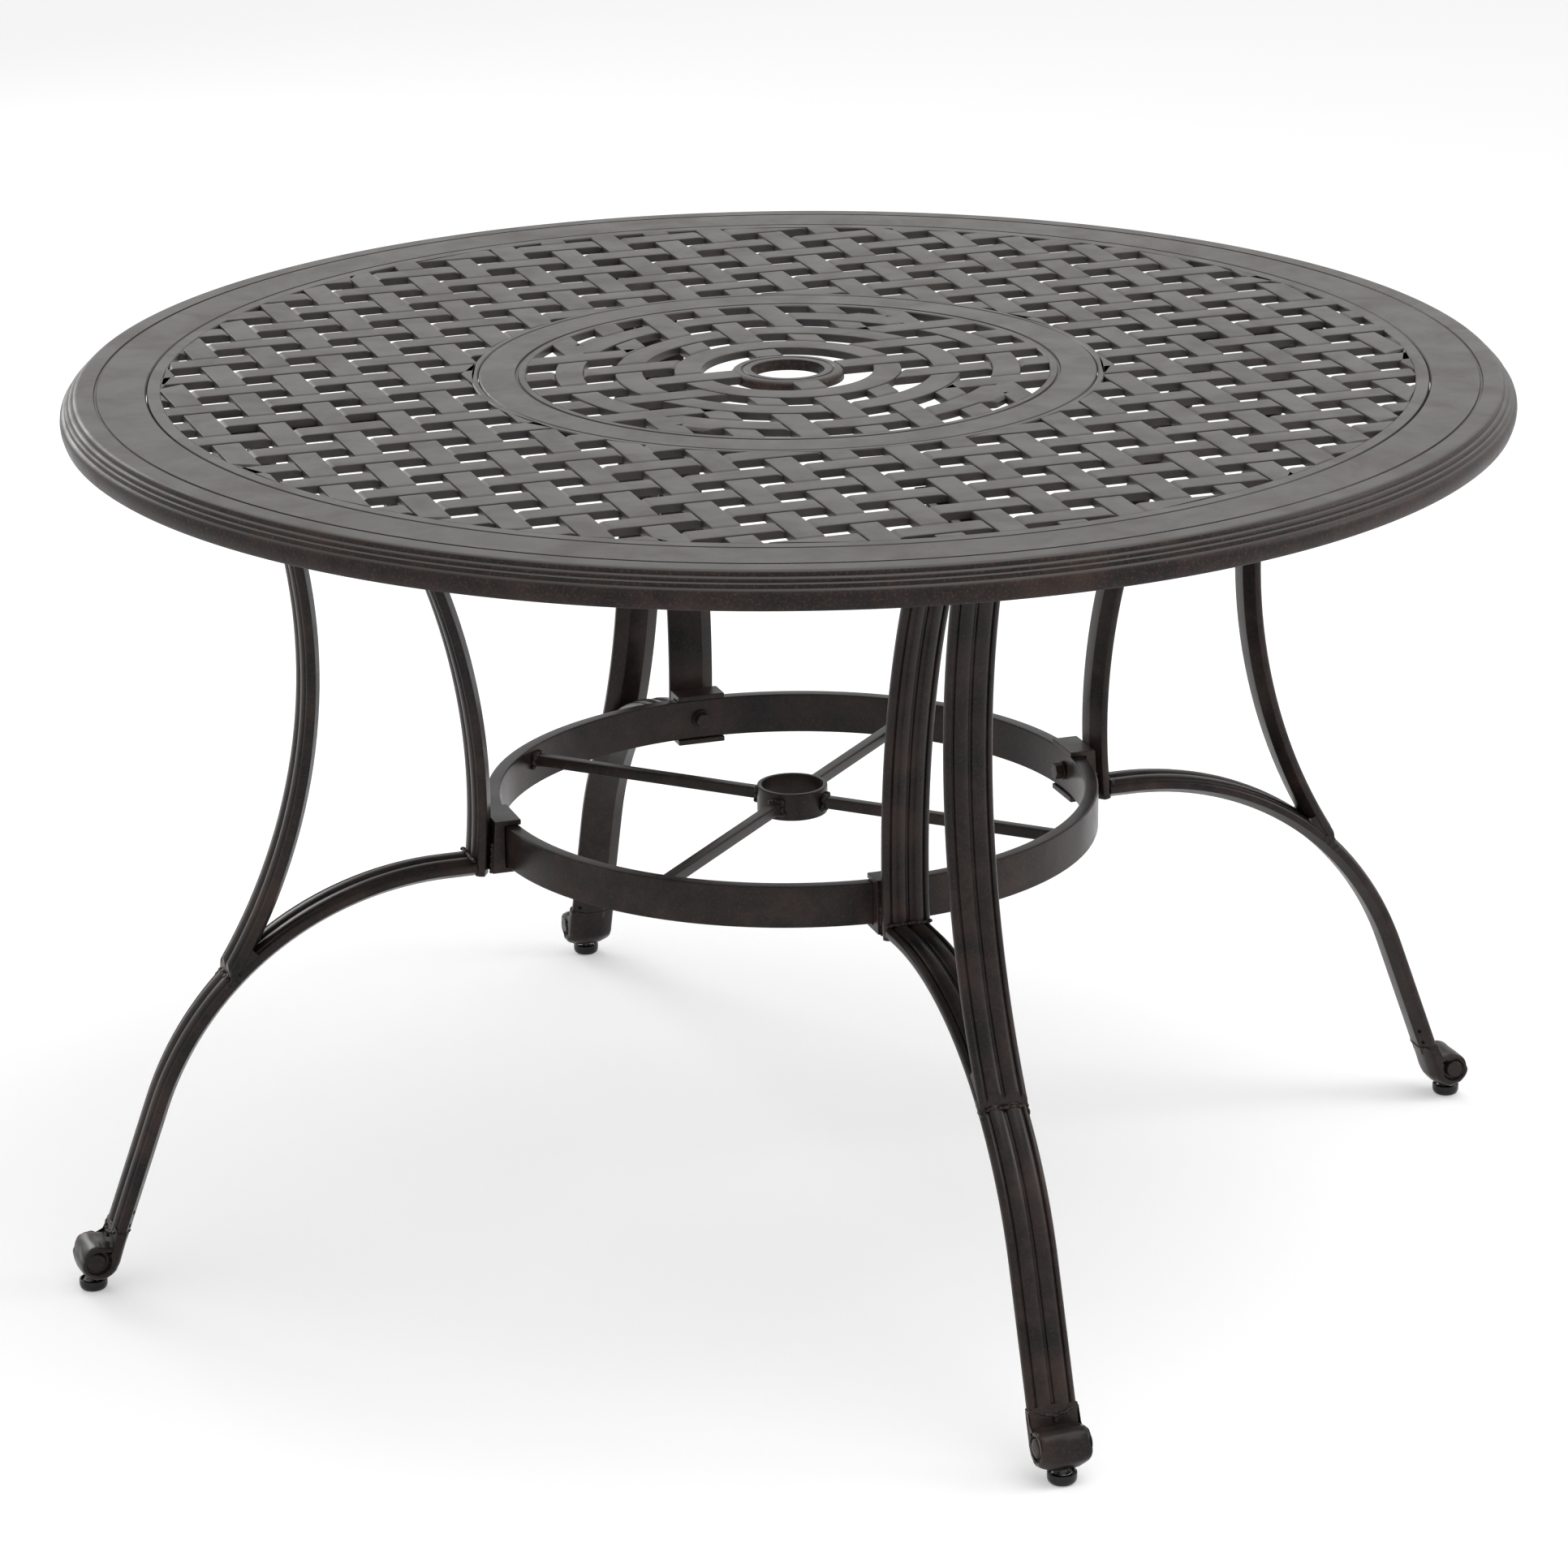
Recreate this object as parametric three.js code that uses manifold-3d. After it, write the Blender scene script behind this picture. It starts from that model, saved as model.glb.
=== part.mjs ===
// A round cast-aluminium patio table with an umbrella hole: a woven lattice top inside a moulded
// rim, four double-bar legs on scroll feet, and a flat hoop with a hub that steadies the pole.
// Millimetres, +Z up. The origin is on the floor under the umbrella hole, and legs lie on X and Y.
import * as THREE from "three";
import { mergeVertices } from "three/addons/utils/BufferGeometryUtils.js";
import Module from "manifold-3d";

// Whole table
const tableDiameter = 1219;
const tableHeight = 745;
const legCount = 4;
const seat = 0.3; // clearance where two pieces touch
const overrun = 3; // how far a cutting solid runs past what it cuts

// Rim of the top: a flat band with one groove, then a stepped moulding that hangs as an apron
const rimBandWidth = 72.5; // from the seam with the lattice out to the table's edge
const rimThickness = 7;
const rimGrooveInset = 30;
const mouldingWidth = 14.5;
const apronDepth = 29;
const apronShoulderShares = [[0, 0], [0.2, 0.05], [0.24, 0.15]];
const beadShares = [[0.46, 0.17], [0.5, 0.28], [0.69, 0.3], [0.72, 0.41]];
const apronFaceShares = [[0.93, 0.48], [1, 0.68], [0.8, 1]];
const apronBackShares = [[0.46, 1], [0, 0.26]];

// Grooves and seams in the flat bands
const grooveWidth = 2.5;
const grooveDepth = 1.2;

// Woven lattice: flat strips that pass over and under one another
const stripPitch = 50;
const stripWidth = 23.5;
const castThickness = 5;
const dipLength = 5; // run of the slope where a strip dives under the one that crosses it
const dipDepth = 3;
const tuck = 6; // how far a diving strip runs on inside the one that crosses it
const deepStripEvery = 3;
const deepRibDepth = 2.5;
const deepRibInset = 4;
const panelLipWidth = 12;
const panelInnerLipWidth = 5.7;

// Centre medallion: a flat band round three woven rings
const medallionBandWidth = 39.8;
const medallionGrooveInset = 32.3;
const wovenRingCount = 3;
const firstRingRadius = 84;
const ringToBand = 24.75; // open gap between the last woven ring and the band

// Collar that lines the umbrella hole
const umbrellaHoleDiameter = 61;
const collarWidth = 17;
const collarDepth = 9.5;
const collarStep = 1.5; // how much deeper the collar is inside than outside
const collarEdgeRadius = 4;
const collarGrooveInset = 8; // from the hole to the groove
const collarLipChamfer = 1;

// Section shared by the bars of the legs: a wide outer face, short walls, a bevelled back
const barWidth = 40.5;
const barThickness = 15.5;
const barWallDepth = 9;
const barBackWidth = 16.5;
const barLineDepth = 5.8; // from the outer face to the line that the bar is bent along

// Inner and outer upright: each bent to one arc that bows in towards the axis
const innerFootLean = 7.1; // degrees that the inner upright leans towards the axis at its foot
const outerFootTurn = 50; // degrees along the arch rail's bend at which the outer upright lands on it
const outerLanding = 3.5; // degrees between the two where their lines meet
const outerEndTrim = 17.5; // from where the lines meet in to the blunt end of the outer upright
const outerTopInset = 72.1; // from the rim's inner edge to the outer upright, under the top plate
const uprightSpacing = 75; // between the two uprights under the top plate
const innerStandOff = 12.9; // from the hoop to the foot of the inner upright
const innerTail = 1.8; // how far the inner upright runs on below the arch rail
const outerSteps = 8;
const innerSteps = 7;

// Arch rail: level where it leaves the inner upright, then bent down to a straight lower leg
const archBend = 275;
const archTopHeight = 341;
const archLevelRun = 27.2;
const lowerLegSlope = 70; // degrees below level
const ankleHeight = 55;
const archSteps = 11;

// Scroll foot: the leg's end curls out and up into a roll
const rollRadius = 13.5;
const rollOffset = 9.84; // from the leg's bent line, carried on straight, to the middle of the roll
const rollCentreHeight = 26.5;
const rollEdge = 2.5;
const scrollTurn = 85; // degrees that the leg turns under the roll
const bossRadius = 7.5;
const bossHeight = 1.2;

// Levelling glide: a plastic cup on a threaded stud
const glideRadius = 12;
const glideBaseRadius = 9;
const glideEdge = 3.5;
const cupWall = 1.6;
const cupRecess = 1.8;
const studRadius = 4;
const studLength = 16;
const studFlangeRadius = 8;
const studFlangeHeight = 1.5;
const glideOffset = 2; // outwards from the middle of the roll
const glideGap = 1.5; // between the cup and the foot, and what the stud can still screw in

// Hoop, hub and spokes
const hoopDiameter = 528;
const hoopWall = 12;
const hoopHeight = 36;
const hoopDrop = 1; // how far the hoop's lower edge lies below the line of the level arch rail
const hubDiameter = 61;
const hubWall = 4;
const hubHeight = 24;
const spokeSide = 10;

// Saddle bracket that holds the hoop to a leg, and its bolt
const bracketWidth = 43.5;
const bracketFlange = 4.7;
const bracketLap = 14;
const boltShankRadius = 4;
const boltHeadRadius = 7.2;
const boltHeadHeight = 8;
const boltTipGap = 2.5; // from the end of the bolt to the inner upright

// Plate on top of a leg, and the screws that hold it to the lattice
const plateThickness = 6;
const plateWidth = 40;
const plateInnerReach = 16.3; // past the inner upright's back
const plateOuterReach = 17.7; // past the outer upright's face
const screwInset = 8;
const screwRadius = 2.5;
const screwHeadRadius = 5.5;
const screwHeadHeight = 3.5;
const screwEngagement = 5;

// Fineness of curved faces
const ringSegments = 40;
const collarSegments = 20;
const hubSegments = 20;
const smallSegments = 10;
const screwSegments = 6;
const scrollSteps = 5;
const flatTolerance = 0.05; // a face this near to flat counts as flat
const wovenRingStep = 18; // degrees

const wasm = await Module();
wasm.setup();

const halfTurn = Math.PI;
const quarterTurn = Math.PI / 2;
const radians = THREE.MathUtils.degToRad;
const legAngles = Array.from({ length: legCount }, (_, i) => (2 * halfTurn * i) / legCount);

function toSolid(geometry) {
  const bare = geometry.clone();
  bare.deleteAttribute("normal");
  bare.deleteAttribute("uv");
  const welded = mergeVertices(bare);
  const vertProperties = new Float32Array(welded.attributes.position.array);
  const triVerts = new Uint32Array(welded.index.array);
  return new wasm.Manifold(new wasm.Mesh({ numProp: 3, vertProperties, triVerts }));
}

// Flat faces that a join left in pieces become one again
function toGeometry(solid) {
  const mesh = solid.asOriginal().simplify(flatTolerance).getMesh();
  const geometry = new THREE.BufferGeometry();
  geometry.setAttribute("position", new THREE.BufferAttribute(mesh.vertProperties, 3));
  geometry.setIndex(new THREE.BufferAttribute(mesh.triVerts, 1));
  geometry.computeVertexNormals();
  return geometry;
}

const unite = (solids) => wasm.Manifold.union(solids);

// Turns a closed outline of [radius, height] pairs, listed anticlockwise, about Z
function turned(outline, segments) {
  const points = [...outline, outline[0]].map(([radius, height]) => new THREE.Vector2(radius, height));
  return new THREE.LatheGeometry(points, segments).rotateX(quarterTurn);
}

// Turns an outline that starts and ends on the axis
function turnedOnAxis(outline, segments) {
  const points = outline.map(([radius, height]) => new THREE.Vector2(radius, height));
  return new THREE.LatheGeometry(points, segments).rotateX(quarterTurn);
}

function outlineShape(points) {
  return new THREE.Shape(points.map(([x, y]) => new THREE.Vector2(x, y)));
}

// Extrudes an outline drawn in X and Z, centred on the plane Y = 0
function slab(points, width) {
  const options = { depth: width, bevelEnabled: false };
  return new THREE.ExtrudeGeometry(outlineShape(points), options)
    .translate(0, 0, -width / 2)
    .rotateX(quarterTurn);
}

function rod(radius, from, to, segments) {
  const length = to - from;
  return new THREE.CylinderGeometry(radius, radius, length, segments)
    .rotateX(quarterTurn)
    .translate(0, 0, from + length / 2);
}

const reach = (radius, offset) => Math.sqrt(radius * radius - offset * offset);

// Radii of the top, from the edge in and from the middle out
const tableRadius = tableDiameter / 2;
const rimInnerRadius = tableRadius - rimBandWidth;
const ringRadius = (index) => firstRingRadius + (index - 1) * stripPitch;
const bandInnerRadius = ringRadius(wovenRingCount) + stripWidth / 2 + ringToBand;
const medallionRadius = bandInnerRadius + medallionBandWidth;
const holeRadius = umbrellaHoleDiameter / 2;
const collarRadius = holeRadius + collarWidth;

// Woven strips

// Side outline of a strip between two places: its top dives at an end that meets a crossing strip
function stripOutline(from, to, divesAtStart, divesAtEnd) {
  const start = divesAtStart
    ? [[from + dipLength, 0], [from, -dipDepth], [from - tuck, -dipDepth], [from - tuck, -castThickness]]
    : [[from, 0], [from, -castThickness]];
  const end = divesAtEnd
    ? [[to + tuck, -castThickness], [to + tuck, -dipDepth], [to, -dipDepth], [to - dipLength, 0]]
    : [[to, -castThickness], [to, 0]];
  return [...start, ...end];
}

function straightStrip(from, to, offset, alongY, divesAtStart = true, divesAtEnd = true) {
  const strip = slab(stripOutline(from, to, divesAtStart, divesAtEnd), stripWidth);
  strip.translate(0, alongY ? -offset : offset, 0);
  if (alongY) strip.rotateZ(quarterTurn);
  return toSolid(strip);
}

// A deeper rib along the underside of a strip
function deepRib(from, to, offset, alongY) {
  const bottom = -castThickness - deepRibDepth;
  const top = -(castThickness + dipDepth) / 2;
  const rib = slab([[from, bottom], [to, bottom], [to, top], [from, top]], stripWidth - 2 * deepRibInset);
  rib.translate(0, alongY ? -offset : offset, 0);
  if (alongY) rib.rotateZ(quarterTurn);
  return toSolid(rib);
}

// A strip that follows a circle, between two angles, diving at both ends
function curvedStrip(radius, from, to) {
  const dip = dipLength / radius;
  const hidden = tuck / radius;
  const count = Math.max(1, Math.round((to - from - 2 * dip) / radians(wovenRingStep)));
  const sections = [[from - hidden, -dipDepth], [from, -dipDepth]];
  for (let i = 0; i <= count; i++) {
    sections.push([from + dip + ((to - from - 2 * dip) * i) / count, 0]);
  }
  sections.push([to, -dipDepth], [to + hidden, -dipDepth]);
  return toSolid(curvedBar(radius, sections));
}

// Joins rectangular sections, each an angle with the height of its top, into a closed bar
function curvedBar(radius, sections) {
  const positions = [];
  for (const [angle, top] of sections) {
    const corners = [[-1, -castThickness], [1, -castThickness], [1, top], [-1, top]];
    for (const [side, height] of corners) {
      const r = radius + (side * stripWidth) / 2;
      positions.push(r * Math.cos(angle), r * Math.sin(angle), height);
    }
  }
  const faces = [0, 1, 2, 0, 2, 3];
  for (let i = 0; i < sections.length - 1; i++) {
    for (let j = 0; j < 4; j++) {
      const near = 4 * i + j;
      const nearNext = 4 * i + ((j + 1) % 4);
      faces.push(near, near + 4, nearNext + 4, near, nearNext + 4, nearNext);
    }
  }
  const last = 4 * (sections.length - 1);
  faces.push(last, last + 2, last + 1, last, last + 3, last + 2);
  const bar = new THREE.BufferGeometry();
  bar.setAttribute("position", new THREE.Float32BufferAttribute(positions, 3));
  bar.setIndex(faces);
  return bar;
}

// Rim and lattice

function rimGeometry() {
  const inner = rimInnerRadius + seat;
  const mouldingStart = tableRadius - mouldingWidth;
  const fromShares = ([x, y]) => [mouldingStart + x * mouldingWidth, -y * apronDepth];
  const face = [...apronShoulderShares, ...beadShares, ...apronFaceShares].map(fromShares);
  const back = apronBackShares.map(fromShares);
  const top = [...face.reverse(), ...grooveOutline(tableRadius - rimGrooveInset)];
  const innerEdge = [[inner + grooveDepth, 0], [inner, -grooveDepth], [inner, -rimThickness]];
  return turned([...top, ...innerEdge, ...back.reverse()], ringSegments);
}

// A V groove in a flat band, listed from its outer edge in
function grooveOutline(radius) {
  return [[radius + grooveWidth / 2, 0], [radius, -grooveDepth], [radius - grooveWidth / 2, 0]];
}

// A flat ring whose edge at the seam is bevelled, so that the seam reads as a groove
function lipRing(inner, outer, bevelsOutside) {
  const top = bevelsOutside
    ? [[outer, -grooveDepth], [outer - grooveDepth, 0], [inner, 0]]
    : [[outer, 0], [inner + grooveDepth, 0], [inner, -grooveDepth]];
  return turned([[inner, -castThickness], [outer, -castThickness], ...top], ringSegments);
}

const isOver = (column, row) => (column + row) % 2 === 0;

function latticePads(innerRadius, outerRadius) {
  const pads = [];
  const half = stripPitch - stripWidth / 2;
  const count = Math.ceil(outerRadius / stripPitch);
  for (let column = -count; column <= count; column++) {
    for (let row = -count; row <= count; row++) {
      const x = column * stripPitch;
      const y = row * stripPitch;
      const distance = Math.hypot(x, y);
      if (distance > outerRadius + half || distance < innerRadius - half) continue;
      const alongY = isOver(column, row);
      const along = alongY ? y : x;
      pads.push(straightStrip(along - half, along + half, alongY ? x : y, alongY));
    }
  }
  return pads;
}

function deepRibs(outerRadius) {
  const ribs = [];
  const count = Math.floor(outerRadius / stripPitch / deepStripEvery);
  for (let i = -count; i <= count; i++) {
    const offset = i * deepStripEvery * stripPitch;
    ribs.push(deepRib(-outerRadius, outerRadius, offset, true));
    ribs.push(deepRib(-outerRadius, outerRadius, offset, false));
  }
  return ribs;
}

function panelGeometry() {
  const innerLip = medallionRadius + seat;
  const inner = innerLip + panelInnerLipWidth;
  const outer = rimInnerRadius - panelLipWidth;
  const clipInner = (innerLip + inner) / 2;
  const clipOuter = (outer + rimInnerRadius) / 2;
  const deep = -castThickness - deepRibDepth - overrun;
  const clip = turned([[clipInner, deep], [clipOuter, deep], [clipOuter, overrun], [clipInner, overrun]],
    ringSegments);
  const woven = unite([...latticePads(inner, outer), ...deepRibs(clipOuter)]).intersect(toSolid(clip));
  const lips = [lipRing(innerLip, inner, false), lipRing(outer, rimInnerRadius, true)].map(toSolid);
  return toGeometry(unite([woven, ...lips]).subtract(unite(plateScrewHoles())));
}

// Medallion

const ringIndices = Array.from({ length: wovenRingCount }, (_, i) => i + 1);

// Angles over which a straight strip lies on top of a woven ring
function crossingsOverRing(index) {
  const radius = ringRadius(index);
  const spans = [];
  for (let strip = 1 - index; strip < index; strip++) {
    const low = Math.asin((strip * stripPitch - stripWidth / 2) / radius);
    const high = Math.asin((strip * stripPitch + stripWidth / 2) / radius);
    if (!isOver(strip, index)) spans.push([low, high], [halfTurn - high, halfTurn - low]);
    else spans.push([quarterTurn - high, quarterTurn - low], [low - quarterTurn, high - quarterTurn]);
  }
  return spans.sort((a, b) => a[0] - b[0]);
}

function wovenRing(index) {
  const spans = crossingsOverRing(index);
  return spans.map((span, i) => {
    const next = spans[(i + 1) % spans.length];
    const end = i + 1 < spans.length ? next[0] : next[0] + 2 * halfTurn;
    return curvedStrip(ringRadius(index), span[1], end);
  });
}

// The stretches of one straight strip from the band in to the ring, or collar, where it ends
function medallionStrip(index, alongY, side, direction) {
  const offset = side * index * stripPitch;
  const place = (radius) => direction * reach(radius, offset);
  const stretches = [];
  let start = place(medallionRadius - medallionBandWidth / 2);
  let divesAtStart = false;
  for (let ring = wovenRingCount; ring > index; ring--) {
    const liesOver = isOver(index, ring) === alongY;
    if (liesOver) continue;
    stretches.push([start, place(ringRadius(ring) + stripWidth / 2), divesAtStart, true]);
    start = place(ringRadius(ring) - stripWidth / 2);
    divesAtStart = true;
  }
  const end = index === 0
    ? direction * (collarRadius + seat)
    : place(ringRadius(index) + stripWidth / 2);
  stretches.push([start, end, divesAtStart, index !== 0]);
  return stretches.map(([from, to, first, last]) => (direction > 0
    ? straightStrip(to, from, offset, alongY, last, first)
    : straightStrip(from, to, offset, alongY, first, last)));
}

// The outermost strips leave the lattice straight and run into the last woven ring
function cornerStrips(side, direction) {
  const offset = wovenRingCount * stripPitch;
  const ringEnd = reach(ringRadius(wovenRingCount), offset);
  const bandEnd = reach(medallionRadius - medallionBandWidth / 2, offset);
  const crossing = offset - stripWidth / 2;
  const over = [direction * ringEnd, direction * bandEnd].sort((a, b) => a - b);
  const under = [direction * ringEnd, direction * crossing].sort((a, b) => a - b);
  return [
    straightStrip(over[0], over[1], side * offset, true, false, false),
    straightStrip(under[0], under[1], side * offset, false, direction < 0, direction > 0),
  ];
}

function medallionStrips() {
  const strips = [];
  for (const direction of [-1, 1]) {
    for (const side of [-1, 1]) {
      strips.push(...cornerStrips(side, direction));
      for (let index = 0; index < wovenRingCount; index++) {
        if (index === 0 && side < 0) continue;
        strips.push(...medallionStrip(index, true, side, direction));
        strips.push(...medallionStrip(index, false, side, direction));
      }
    }
  }
  return strips;
}

function medallionRibs() {
  const from = collarRadius + seat;
  const to = medallionRadius - medallionBandWidth / 2;
  return [true, false].flatMap((alongY) => [deepRib(from, to, 0, alongY), deepRib(-to, -from, 0, alongY)]);
}

function medallionGeometry() {
  const band = lipRing(bandInnerRadius, medallionRadius, true);
  const grooveRadius = medallionRadius - medallionGrooveInset;
  const groove = turned([
    [grooveRadius, -grooveDepth],
    [grooveRadius + grooveWidth, grooveDepth],
    [grooveRadius - grooveWidth, grooveDepth],
  ], ringSegments);
  const rings = ringIndices.flatMap(wovenRing);
  const pieces = [toSolid(band), ...rings, ...medallionStrips(), ...medallionRibs()];
  return toGeometry(unite(pieces).subtract(toSolid(groove)));
}

function collarGeometry() {
  const middle = (holeRadius + collarRadius) / 2;
  const grooveRadius = holeRadius + collarGrooveInset;
  const edge = collarEdgeRadius;
  const roundEdge = [0, 1, 2].map((i) => {
    const angle = (quarterTurn * i) / 2;
    return [collarRadius - edge + edge * Math.cos(angle), -edge + edge * Math.sin(angle)];
  });
  const bore = [
    [holeRadius + collarLipChamfer, 0], [holeRadius, -collarLipChamfer], [holeRadius, -collarDepth],
  ];
  const step = collarStep - collarDepth;
  const skirt = [[middle, -collarDepth], [middle, step], [collarRadius, step]];
  return turned([...roundEdge, ...grooveOutline(grooveRadius), ...bore, ...skirt], collarSegments);
}

// Legs, each drawn in the plane Y = 0 with its foot towards +X

// A curve in that plane from a flat path of radius and height
class PlaneCurve extends THREE.Curve {
  constructor(path) {
    super();
    this.path = path;
  }

  getPoint(share) {
    const point = this.path.getPointAt(share);
    return new THREE.Vector3(point.x, 0, point.y);
  }
}

// Bar section: across the bar in x, and in y outwards from the line that the bar is bent along
function barSection() {
  const face = barLineDepth;
  const wall = barLineDepth - barWallDepth;
  const back = -barBackDepth;
  const side = barWidth / 2;
  const backSide = barBackWidth / 2;
  return outlineShape([
    [-side, face], [-side, wall], [-backSide, back], [backSide, back], [side, wall], [side, face],
  ]);
}

function bar(path, steps, section = barSection()) {
  return new THREE.ExtrudeGeometry(section, { steps, extrudePath: new PlaneCurve(path) });
}

// Height at which the top plate's underside lies
const plateBottom = tableHeight - castThickness - deepRibDepth - seat - plateThickness;
const barBackDepth = barThickness - barLineDepth;
const hoopOuter = hoopDiameter / 2;
const outerTopRadius = rimInnerRadius - outerTopInset;

// The line of an upright: the arc that leaves its foot at a lean towards the axis and ends at its top
function uprightLine(foot, top, footLean, steps) {
  const chord = top.clone().sub(foot);
  const halfSweep = footLean + Math.atan(chord.x / chord.y);
  const bend = chord.length() / 2 / Math.sin(halfSweep);
  const outwards = new THREE.Vector2(chord.y, -chord.x).normalize();
  const centre = foot.clone().add(top).divideScalar(2);
  centre.addScaledVector(outwards, bend * Math.cos(halfSweep));
  return { centre, bend, steps, foot: foot.y };
}

// It stands off the hoop, and runs on a little below the arch rail
function innerUprightLine() {
  const footRadius = hoopOuter + innerStandOff + barBackDepth;
  const foot = new THREE.Vector2(footRadius, archTopHeight - barBackDepth - innerTail);
  const top = new THREE.Vector2(outerTopRadius - uprightSpacing, plateBottom);
  return uprightLine(foot, top, radians(innerFootLean), innerSteps);
}

// It lands nearly along the arch rail
function outerUprightLine() {
  const turn = radians(outerFootTurn);
  const foot = new THREE.Vector2(
    archBendStart + archBend * Math.sin(turn),
    archTopHeight - archBend * (1 - Math.cos(turn)),
  );
  const top = new THREE.Vector2(outerTopRadius, plateBottom);
  return uprightLine(foot, top, quarterTurn - turn - radians(outerLanding), outerSteps);
}

// Radius of an upright at a height: of its line, or of a face that lies so far inside the line
const uprightRadius = ({ centre, bend }, height, depth = 0) => (
  centre.x - reach(bend + depth, height - centre.y)
);

const innerUpright = innerUprightLine();
const archBendStart = uprightRadius(innerUpright, archTopHeight) + archLevelRun;
const outerUpright = outerUprightLine();

// The lower leg runs straight from the knee to the ankle, and past it to the roll
const legSlope = radians(lowerLegSlope);
const kneeRadius = archBendStart + archBend * Math.sin(legSlope);
const kneeHeight = archTopHeight - archBend * (1 - Math.cos(legSlope));
const ankleRadius = kneeRadius + (kneeHeight - ankleHeight) / Math.tan(legSlope);
const ankleToRoll = rollOffset + (ankleHeight - rollCentreHeight) * Math.cos(legSlope);
const rollCentreRadius = ankleRadius + ankleToRoll / Math.sin(legSlope);

function uprightPath({ centre, bend, foot }) {
  const top = plateBottom + barThickness;
  const angleAt = (height) => halfTurn - Math.asin((height - centre.y) / bend);
  const path = new THREE.Path();
  path.absarc(centre.x, centre.y, bend, angleAt(foot), angleAt(top), true);
  return path;
}

// A block across the whole leg, between two radii and two heights
function legBlock(from, to, bottom, top) {
  return toSolid(slab([[from, bottom], [to, bottom], [to, top], [from, top]], 2 * barWidth));
}

// An upright, cut level where the top plate lies on it
function upright(shape) {
  const above = legBlock(0, tableRadius, plateBottom - seat, tableHeight + barWidth);
  return toSolid(bar(uprightPath(shape), shape.steps)).subtract(above);
}

function archPath() {
  const path = new THREE.Path();
  path.moveTo(ankleRadius - seat * Math.cos(legSlope), ankleHeight + seat * Math.sin(legSlope));
  path.lineTo(kneeRadius, kneeHeight);
  path.absarc(archBendStart, archTopHeight - archBend, archBend, quarterTurn - legSlope, quarterTurn, false);
  path.lineTo(uprightRadius(innerUpright, archTopHeight), archTopHeight);
  return path;
}

// The space that the arch rail takes, with the clearance round it and no groove
function archSpace() {
  const side = barWidth / 2 + overrun;
  const face = barLineDepth + seat;
  const back = -2 * barThickness;
  const section = outlineShape([[-side, face], [-side, back], [side, back], [side, face]]);
  return toSolid(bar(archPath(), archSteps, section));
}

// It lies on the arch rail and ends in an upright cut
function outerUprightGeometry() {
  const foot = uprightRadius(outerUpright, outerUpright.foot);
  const beyond = legBlock(foot - outerEndTrim, foot + barWidth, 0, archTopHeight);
  return toGeometry(upright(outerUpright).subtract(archSpace()).subtract(beyond));
}

function innerUprightGeometry() {
  return toGeometry(upright(innerUpright));
}

// The space that the inner upright takes, with the clearance in front of it and behind it
function uprightSpace() {
  const side = barWidth / 2 + overrun;
  const face = barLineDepth + seat;
  const back = -barBackDepth - seat;
  const section = outlineShape([[-side, face], [-side, back], [side, back], [side, face]]);
  return toSolid(bar(uprightPath(innerUpright), innerUpright.steps, section));
}

function archRailGeometry() {
  return toGeometry(toSolid(bar(archPath(), archSteps)).subtract(uprightSpace()));
}

// The leg's end curls under the roll, on a radius that shrinks to the roll's own
function scrollPoints() {
  const endRadius = rollRadius - barBackDepth;
  const startAngle = halfTurn + quarterTurn - legSlope;
  return Array.from({ length: scrollSteps + 1 }, (_, i) => {
    const angle = startAngle + (radians(scrollTurn) * i) / scrollSteps;
    const radius = rollOffset + ((endRadius - rollOffset) * i) / scrollSteps;
    return new THREE.Vector2(
      rollCentreRadius + radius * Math.cos(angle),
      rollCentreHeight + radius * Math.sin(angle),
    );
  });
}

function neck() {
  const path = new THREE.Path([scrollPoints()[0], new THREE.Vector2(ankleRadius, ankleHeight)]);
  return toSolid(bar(path, 1));
}

// The curl's section stops short of the roll's middle, where the sweep would fold over itself
function curl() {
  const points = scrollPoints();
  const face = (rollRadius - barBackDepth) / 2;
  const wall = barLineDepth - barWallDepth;
  const back = -barBackDepth;
  const section = outlineShape([
    [-barWidth / 2, face], [-barWidth / 2, wall], [-barBackWidth / 2, back],
    [barBackWidth / 2, back], [barWidth / 2, wall], [barWidth / 2, face],
  ]);
  const path = new THREE.Path();
  path.moveTo(points.at(-1).x, points.at(-1).y);
  path.splineThru(points.slice(0, -1).reverse());
  return toSolid(bar(path, scrollSteps, section));
}

function roll() {
  const circle = new THREE.Shape().absarc(0, 0, rollRadius, 0, 2 * halfTurn, false);
  const options = {
    depth: barWidth - 2 * rollEdge,
    bevelThickness: rollEdge,
    bevelSize: rollEdge,
    bevelOffset: -rollEdge,
    bevelSegments: 1,
    curveSegments: smallSegments / 2,
  };
  const drum = new THREE.ExtrudeGeometry(circle, options);
  drum.translate(0, 0, rollEdge - barWidth / 2).rotateX(quarterTurn);
  const half = barWidth / 2 + bossHeight;
  const boss = rod(bossRadius, -half, half, smallSegments).rotateX(quarterTurn);
  const place = (geometry) => toSolid(geometry.translate(rollCentreRadius, 0, rollCentreHeight));
  return unite([drum, boss].map(place));
}

const scroll = unite([neck(), curl(), roll()]);
const glidePlace = rollCentreRadius + glideOffset;
const glideTop = scroll.boundingBox().min[2] - glideGap;
const studTop = glideTop + studLength;

function scrollFootGeometry() {
  const bore = rod(studRadius + seat, 0, studTop + glideGap + seat, smallSegments);
  bore.translate(glidePlace, 0, 0);
  return toGeometry(scroll.subtract(toSolid(bore)));
}

// Levelling glide

function glideCupGeometry() {
  const floor = glideTop - cupRecess;
  const rim = glideRadius - cupWall;
  return turnedOnAxis([
    [0, 0], [glideBaseRadius, 0], [glideRadius, glideEdge], [glideRadius, glideTop],
    [rim, glideTop], [rim, floor], [0, floor],
  ], smallSegments);
}

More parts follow.
